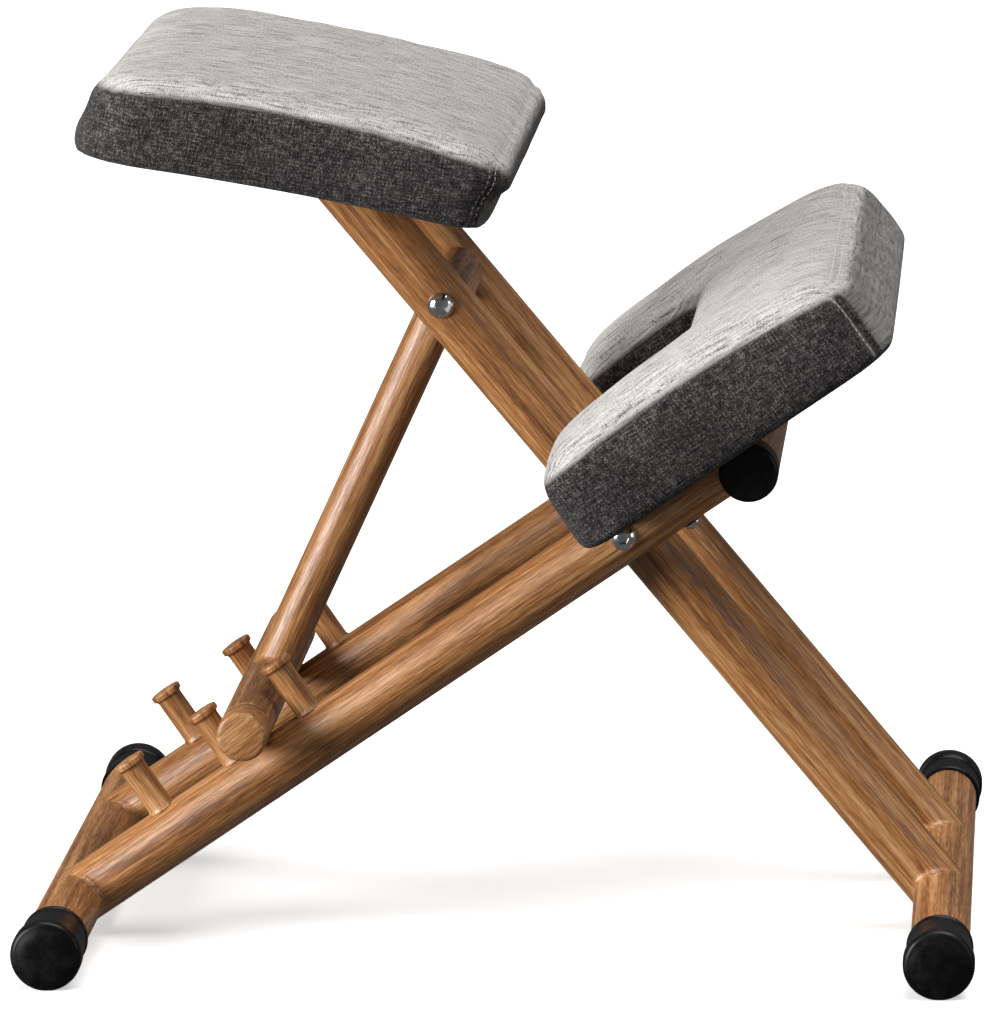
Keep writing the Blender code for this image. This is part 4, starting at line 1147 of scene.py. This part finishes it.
def stitch_rows(name, piece, path, offsets, body, place):
    """Rows of topstitching at these distances beside a path: short stitches that lie on the cover."""
    surface = surface_of(piece)
    shape, shape_faces = stitch_shape()
    points, faces = [], []
    count = len(path)
    for i in range(1, count - 1):
        tangent = (path[i + 1] - path[i - 1]).normalized()
        on, normal, _, _ = surface.find_nearest(path[i])
        outwards = normal.cross(tangent).normalized()
        for offset in offsets:
            at, normal, _, _ = surface.find_nearest(on + outwards * offset)
            x = (tangent - normal * tangent.dot(normal)).normalized()
            y = normal.cross(x)
            start = len(points)
            for u, v, w in shape:
                along, side, up = u * STITCH_HALF, v * THREAD_R, (w + 0.3) * THREAD_R
                points.append(at + x * along + y * side + normal * up)
            faces += [tuple(start + k for k in face) for face in shape_faces]
    made = built(name, points, faces)
    put(made, place)
    hand_over(made, name, body, finish_named("stitching_thread", stitching))
    made.data.shade_smooth()


def lay_weave(piece):
    """Gives the cover a UV map in metres, laid on it from above, from the sides and from the ends."""
    mesh = piece.data
    weave = mesh.uv_layers.new(name="weave")
    for face in mesh.polygons:
        normal = face.normal
        steepest = max(range(3), key=lambda axis: abs(normal[axis]) + (0.12 if axis == 2 else 0))
        across, up = {2: (0, 1), 1: (0, 2), 0: (1, 2)}[steepest]
        for loop in face.loop_indices:
            co = mesh.vertices[mesh.loops[loop].vertex_index].co
            weave.data[loop].uv = (co[across] + 0.37 * steepest, co[up] + 0.21 * steepest)


def ruffle(points, amount, size, seed):
    """Small even unevenness of foam and cloth, up to amount, in patches of about this size."""
    shift = Vector((seed, 0, 0))
    return np.array([noise.noise(Vector(point) / size + shift) for point in points]) * amount


def fill_out(piece, plan, top, crown, held_below):
    """Meshes a blank evenly, crowns its top, and stuffs it, and gives its points.

    The crown is the band under the top that it starts in, its height, how far in from the plan
    it starts, and the distance over which it rises.
    """
    remesh(piece, bpy.context.scene.chair_cloth.voxel)
    band, height, start, reach = crown
    points = points_of(piece)
    inward = edge_distance(points, plan)
    upper = smoothstep(points[:, 2], top - band, top - 1 * MM)
    points[:, 2] += upper * height * (1 - np.exp(-np.maximum(inward - start, 0) / reach))
    set_points(piece, points)
    stuff(piece, held_below)
    subdivide(piece)
    return points_of(piece)


def unsettle(piece, points, above, half_width, lift, seeds):
    """Gives a cover's top and sides the unevenness of real cloth."""
    points[:, 2] += ruffle(points, lift, 48 * MM, seeds[0]) * above
    outer = smoothstep(np.abs(points[:, 1]), 0.9 * half_width, half_width)
    points[:, 1] += ruffle(points, 0.9 * MM, 40 * MM, seeds[1]) * outer
    set_points(piece, points)


def hang_cover(piece, name, body, node, place):
    """Puts a finished cover where its cushion's node is."""
    put(piece, place)
    finish = finish_named("woven_cloth", woven_cloth)
    hand_over(piece, name, body, finish, [node])
    piece.data.shade_smooth()


def prism(name, outline, bottom, top):
    """A slab with this outline, between these heights."""
    return loft(name, [(outline, bottom), (outline, top)])


def open_below(piece, plan, margin, bottom, top):
    """Opens a cushion from below, so that its cover wraps under its board by this margin."""
    carve(piece, prism("opening_cutter", rounded_outline(plan, margin), bottom, top))


def lay_board(node, plan, body, place):
    """The plywood board in a cushion, a little inside its cover's hem."""
    low, high = span(node, place)
    board = prism(node, rounded_outline(plan, BOARD_INSET), low.z, high.z)
    put(board, place)
    hand_over(board, node, body, plywood(f"plywood_{node}", place), [node])


def shade_cover(piece, low, high, top, bend, ends):
    """Marks the cover's tone: pale on top and charcoal round the sides, the cloth's two tones, with
    painted shade: the ends between them by which way they face, a darker band just under the top edge,
    and the underside dark.
    """
    mesh = piece.data
    points = points_of(piece)
    normals = np.empty(len(points) * 3)
    mesh.vertices.foreach_get("normal", normals)
    normals = normals.reshape(-1, 3)
    rear_shade, front_shade = ends
    level = np.hypot(normals[:, 0], normals[:, 1])
    sideways = smoothstep(np.abs(normals[:, 1]) / np.maximum(level, 1e-6), 0.5, 0.85)
    # Painted shade: the rear and front ends each get their own darkness by which way they face.
    end_shade = np.where(normals[:, 0] > 0, front_shade, rear_shade)
    share = along(points, low, high)
    below = top - bend[0] * share**2 - bend[1] * share - points[:, 2]
    tone = (sideways + (1 - sideways) * end_shade) * smoothstep(below, 3.5 * MM, 12 * MM)
    # Painted shade: darkest just under the top edge, a little lighter lower down.
    tone = tone * (1 - 0.16 * smoothstep(below, 14 * MM, 40 * MM))
    # Painted shade: faces that look down are dark.
    tone = np.where(normals[:, 2] < -0.5, 0.85, tone)
    layer = mesh.attributes.new("shade", "FLOAT", "POINT")
    layer.data.foreach_set("value", tone.astype(np.float32))


class CHAIR_OT_seat_cushion(bpy.types.Operator):
    """Make the seat cushion: a crowned, stuffed cover with a topstitched seam at its front"""

    bl_idname = "chair.seat_cushion"
    bl_label = "Seat cushion"

    def execute(self, context):
        hem, shoulder = seat_plans()
        low, high = span("seat_cushion", PAN)
        top = low.z + 57 * MM
        upright = low.z + 15 * MM
        piece = cushion_blank("seat_cover", hem, shoulder, low.z, upright, top, 19 * MM)
        points = fill_out(piece, shoulder, top, (18 * MM, 2.5 * MM, 8 * MM, 40 * MM), low.z + 4 * MM)
        share = along(points, low, high)
        above = smoothstep(points[:, 2], low.z + 14 * MM, low.z + 44 * MM)
        points[:, 2] -= above * (11.5 * share**2 + 2.0 * share) * MM
        points[:, 2] -= (1 - above) * 4.2 * MM * share**2
        unsettle(piece, points, above, high.y, 1.0 * MM, (3.0, 9.0))
        surface = surface_of(piece)
        front = self.front_line(low, high, hem[0][0])
        line = [surface.find_nearest(Vector(point))[0] for point in front]
        path = even_path(line, PATH_STEP)
        press_seam(piece, path, 5 * MM, 1.5 * MM)
        lay_weave(piece)
        # The rear and front end darknesses are painted shade, set by which way each end faces.
        shade_cover(piece, low, high, top, (11.5 * MM, 2 * MM), (0.85, 0.75))
        board_high = span("seat_board", PAN)[1]
        open_below(piece, hem, WRAP, low.z - 20 * MM, board_high.z - 2 * MM)
        stitches = even_path(path, STITCH_PITCH)
        stitch_rows("seat_stitching", piece, stitches, STITCH_ROWS, "seat_frame", PAN)
        lay_board("seat_board", hem, "seat_frame", PAN)
        hang_cover(piece, "seat_cover", "seat_frame", "seat_cushion", PAN)
        return {"FINISHED"}

    def front_line(self, low, high, hem_front):
        """Points from one hem up a front corner, along the front edge and down the other corner."""
        top = low.z + 57 * MM
        corner = []
        for z in (4, 12, 20, 28, 36, 42):
            front = hem_front + (high.x - hem_front) * z * MM / (top - low.z)
            corner.append((front - 8.8 * MM, high.y - 8.8 * MM, low.z + z * MM))
        corner.append((high.x - 8 * MM, high.y - 11 * MM, top - 8 * MM))
        corner.append((high.x - 7 * MM, high.y - 20 * MM, top - 5 * MM))
        corner.append((high.x - 6 * MM, high.y - 32 * MM, top - 4 * MM))
        reach = high.y - 46 * MM
        across = [(high.x - 6 * MM, y, top - 4 * MM) for y in np.linspace(-reach, reach, 24)]
        right = [(x, -y, z) for x, y, z in corner]
        return right + across + corner[::-1]


class CHAIR_OT_knee_cushion(bpy.types.Operator):
    """Make the knee cushion: a stuffed cover round the seat rails' notch, topstitched at its front"""

    bl_idname = "chair.knee_cushion"
    bl_label = "Knee cushion"

    def execute(self, context):
        plan = knee_plan()
        low, high = span("knee_cushion", KNEE)
        bottom = TUBE_R - 2.6 * MM
        top = low.z + 62.5 * MM
        piece = cushion_blank("knee_cover", plan, plan, bottom, bottom + 12 * MM, top, 17 * MM)
        points = fill_out(piece, plan, top, (16 * MM, 6.5 * MM, 6 * MM, 34 * MM), bottom + 4 * MM)
        share = along(points, low, high)
        above = smoothstep(points[:, 2], bottom + 12 * MM, bottom + 46 * MM)
        points[:, 2] -= above * (9.0 * share**2 + 1.5 * share) * MM
        unsettle(piece, points, above, high.y, 1.1 * MM, (7.0, 5.0))
        surface = surface_of(piece)
        rim = [Vector((p.x, p.y, top - 1 * MM)) for p in rounded_outline(plan, 3 * MM)]
        rim = [surface.find_nearest(point)[0] for point in rim]
        path = even_path(rim, PATH_STEP, True)
        press_seam(piece, path, 4.5 * MM, 1.0 * MM)
        corners = []
        for side in (-1, 1):
            heights = np.linspace(top - 6 * MM, bottom + 5 * MM, 12)
            down = [(high.x - 11 * MM, side * (high.y - 9 * MM), z) for z in heights]
            line = even_path([surface.find_nearest(Vector(point))[0] for point in down], PATH_STEP)
            press_seam(piece, line, 4 * MM, 1.2 * MM)
            corners.append(line)
        lay_weave(piece)
        # The rear and front end darknesses are painted shade, set by which way each end faces.
        shade_cover(piece, low, high, top, (9 * MM, 1.5 * MM), (0.85, 0.5))
        board_high = span("knee_board", KNEE)[1]
        open_below(piece, plan, WRAP, bottom - 20 * MM, board_high.z - 2 * MM)
        self.make_room(piece)
        front = [point for point in path if point.x > high.x - 75 * MM]
        start = next(i for i in range(len(path)) if path[i - 1].x <= high.x - 75 * MM < path[i].x)
        front = [path[(start + i) % len(path)] for i in range(len(front))]
        stitches = even_path(front, STITCH_PITCH)
        stitch_rows("knee_stitching_front", piece, stitches, STITCH_ROWS, "knee_frame", KNEE)
        for line, side_name, row in zip(corners, ("right", "left"), STITCH_ROWS):
            corner_path = even_path(line, STITCH_PITCH)
            name = f"knee_stitching_{side_name}"
            stitch_rows(name, piece, corner_path, (row,), "knee_frame", KNEE)
        lay_board("knee_board", plan, "knee_frame", KNEE)
        hang_cover(piece, "knee_cover", "knee_frame", "knee_cushion", KNEE)
        return {"FINISHED"}

    def make_room(self, piece):
        """Cuts the hem away where the rails press on the board."""
        radius = TUBE_R + 0.4 * MM
        for _, side in SIDES:
            rail = turned([(radius, 0.3), (radius, KNEE_RAIL_LENGTH)], SMALL_ROUND)
            carve(piece, put(rail, along_x(Matrix.Identity(4), side * KNEE_RAIL_Y)))


# The stage

CAMERA_PLACE = Vector((0.34734, -5.01957, 1.23274))
CAMERA_AZIMUTH = math.radians(4.12)
CAMERA_ELEVATION = math.radians(10.87)
CAMERA_ROLL = math.radians(-0.42)
CAMERA_LENS = 276.73  # millimetres, on a sensor 36 mm along the picture's longer side


class CHAIR_OT_stage(bpy.types.Operator):
    """Set out the pale floor, the soft lights and the camera"""

    bl_idname = "chair.stage"
    bl_label = "Floor, lights and camera"

    def execute(self, context):
        self.floor(context.scene.chair_stage)
        self.lights(context.scene)
        self.camera(context.scene)
        return {"FINISHED"}

    def floor(self, stage):
        start_afresh()
        bpy.ops.mesh.primitive_circle_add(vertices=96, radius=60, fill_type="NGON", location=(0, 0, 0))
        floor = bpy.context.object
        finish, tree, shader = start_material("floor_paint", Roughness=0.9, Specular_IOR_Level=0.1)
        tone = noise_at(tree, local_coordinates(tree), 3, 0.5, 0, 2)
        near = [0.98 * c for c in stage.floor]
        tree.links.new(ramp(tree, tone, [(0.3, near), (0.7, stage.floor)]), shader.inputs["Base Color"])
        shader.inputs["Emission Color"].default_value = (*stage.floor, 1)
        shader.inputs["Emission Strength"].default_value = 0.55
        floor.name = floor.data.name = "floor"
        floor.data.materials.append(finish)
        floor.visible_diffuse = False
        floor.visible_glossy = False

    def lights(self, scene):
        stage = scene.chair_stage
        world = bpy.data.worlds.new("studio")
        world.use_nodes = True
        tree = world.node_tree
        background = tree.nodes["Background"]
        seen = add_node(tree, "ShaderNodeLightPath").outputs["Is Camera Ray"]
        strength = spread(tree, seen, 0, 1, stage.fill, 1.6)
        background.inputs["Color"].default_value = (1, 1, 1, 1)
        tree.links.new(strength, background.inputs["Strength"])
        scene.world = world
        self.sun("overhead_light", stage.overhead, (0, math.radians(10), 0), 50)
        self.softbox("left_softbox", (-2.8, -1.95, 0.95), 1.6, 1.6, stage.left)
        self.softbox("right_softbox", (3.0, -1.2, 1.0), 1.6, 1.6, stage.right)
        scene.view_settings.view_transform = "Standard"
        scene.view_settings.look = "None"

    def sun(self, name, strength, turn, width):
        light = bpy.data.lights.new(name, "SUN")
        light.energy = strength
        light.angle = math.radians(width)
        made = bpy.data.objects.new(name, light)
        made.rotation_euler = turn
        bpy.context.scene.collection.objects.link(made)

    def softbox(self, name, place, width, height, power):
        light = bpy.data.lights.new(name, "AREA")
        light.shape = "RECTANGLE"
        light.size, light.size_y = width, height
        light.energy = power
        made = bpy.data.objects.new(name, light)
        made.location = place
        aim = Vector((0, 0, 0.25)) - Vector(place)
        made.rotation_euler = aim.to_track_quat("-Z", "Y").to_euler()
        made.visible_camera = False
        bpy.context.scene.collection.objects.link(made)

    def camera(self, scene):
        lens = bpy.data.cameras.new("camera")
        lens.lens = CAMERA_LENS
        lens.clip_end = 200
        camera = bpy.data.objects.new("camera", lens)
        scene.collection.objects.link(camera)
        back = Vector(
            (
                math.sin(CAMERA_AZIMUTH) * math.cos(CAMERA_ELEVATION),
                -math.cos(CAMERA_AZIMUTH) * math.cos(CAMERA_ELEVATION),
                math.sin(CAMERA_ELEVATION),
            )
        )
        right = (-back).cross(Vector((0, 0, 1))).normalized()
        up = right.cross(-back)
        level = Matrix((right, up, back)).transposed()
        camera.matrix_world = Matrix.Translation(CAMERA_PLACE) @ (
            level @ Matrix.Rotation(CAMERA_ROLL, 3, "Z")
        ).to_4x4()
        scene.camera = camera


class CHAIR_PT_build(bpy.types.Panel):
    """The chair's pieces in the order that they are built, and its settings"""

    bl_idname = "CHAIR_PT_build"
    bl_label = "Kneeling Chair"
    bl_space_type = "VIEW_3D"
    bl_region_type = "UI"
    bl_category = "Kneeling Chair"

    def draw(self, context):
        for operator in OPERATORS:
            self.layout.operator(operator.bl_idname)
        for name, group in SETTINGS:
            box = self.layout.box()
            box.label(text=name.replace("_", " ").capitalize())
            for key in group.__annotations__:
                box.prop(getattr(context.scene, name), key)


OPERATORS = (
    CHAIR_OT_frame_tubes,
    CHAIR_OT_weld_beads,
    CHAIR_OT_pegs,
    CHAIR_OT_t_bar_ends,
    CHAIR_OT_caps,
    CHAIR_OT_bolts,
    CHAIR_OT_nuts,
    CHAIR_OT_hidden_parts,
    CHAIR_OT_seat_cushion,
    CHAIR_OT_knee_cushion,
    CHAIR_OT_stage,
)


def register():
    for name, group in SETTINGS:
        bpy.utils.register_class(group)
        setattr(bpy.types.Scene, name, PointerProperty(type=group))
    for operator in OPERATORS:
        bpy.utils.register_class(operator)
    bpy.utils.register_class(CHAIR_PT_build)


def unregister():
    bpy.utils.unregister_class(CHAIR_PT_build)
    for operator in reversed(OPERATORS):
        bpy.utils.unregister_class(operator)
    for name, group in reversed(SETTINGS):
        delattr(bpy.types.Scene, name)
        bpy.utils.unregister_class(group)


def main():
    register()
    bpy.ops.chair.frame_tubes()
    bpy.ops.chair.weld_beads()
    bpy.ops.chair.pegs()
    bpy.ops.chair.t_bar_ends()
    bpy.ops.chair.caps()
    bpy.ops.chair.bolts()
    bpy.ops.chair.nuts()
    bpy.ops.chair.hidden_parts()
    bpy.ops.chair.seat_cushion()
    bpy.ops.chair.knee_cushion()
    bpy.ops.chair.stage()


if __name__ == "__main__":
    main()
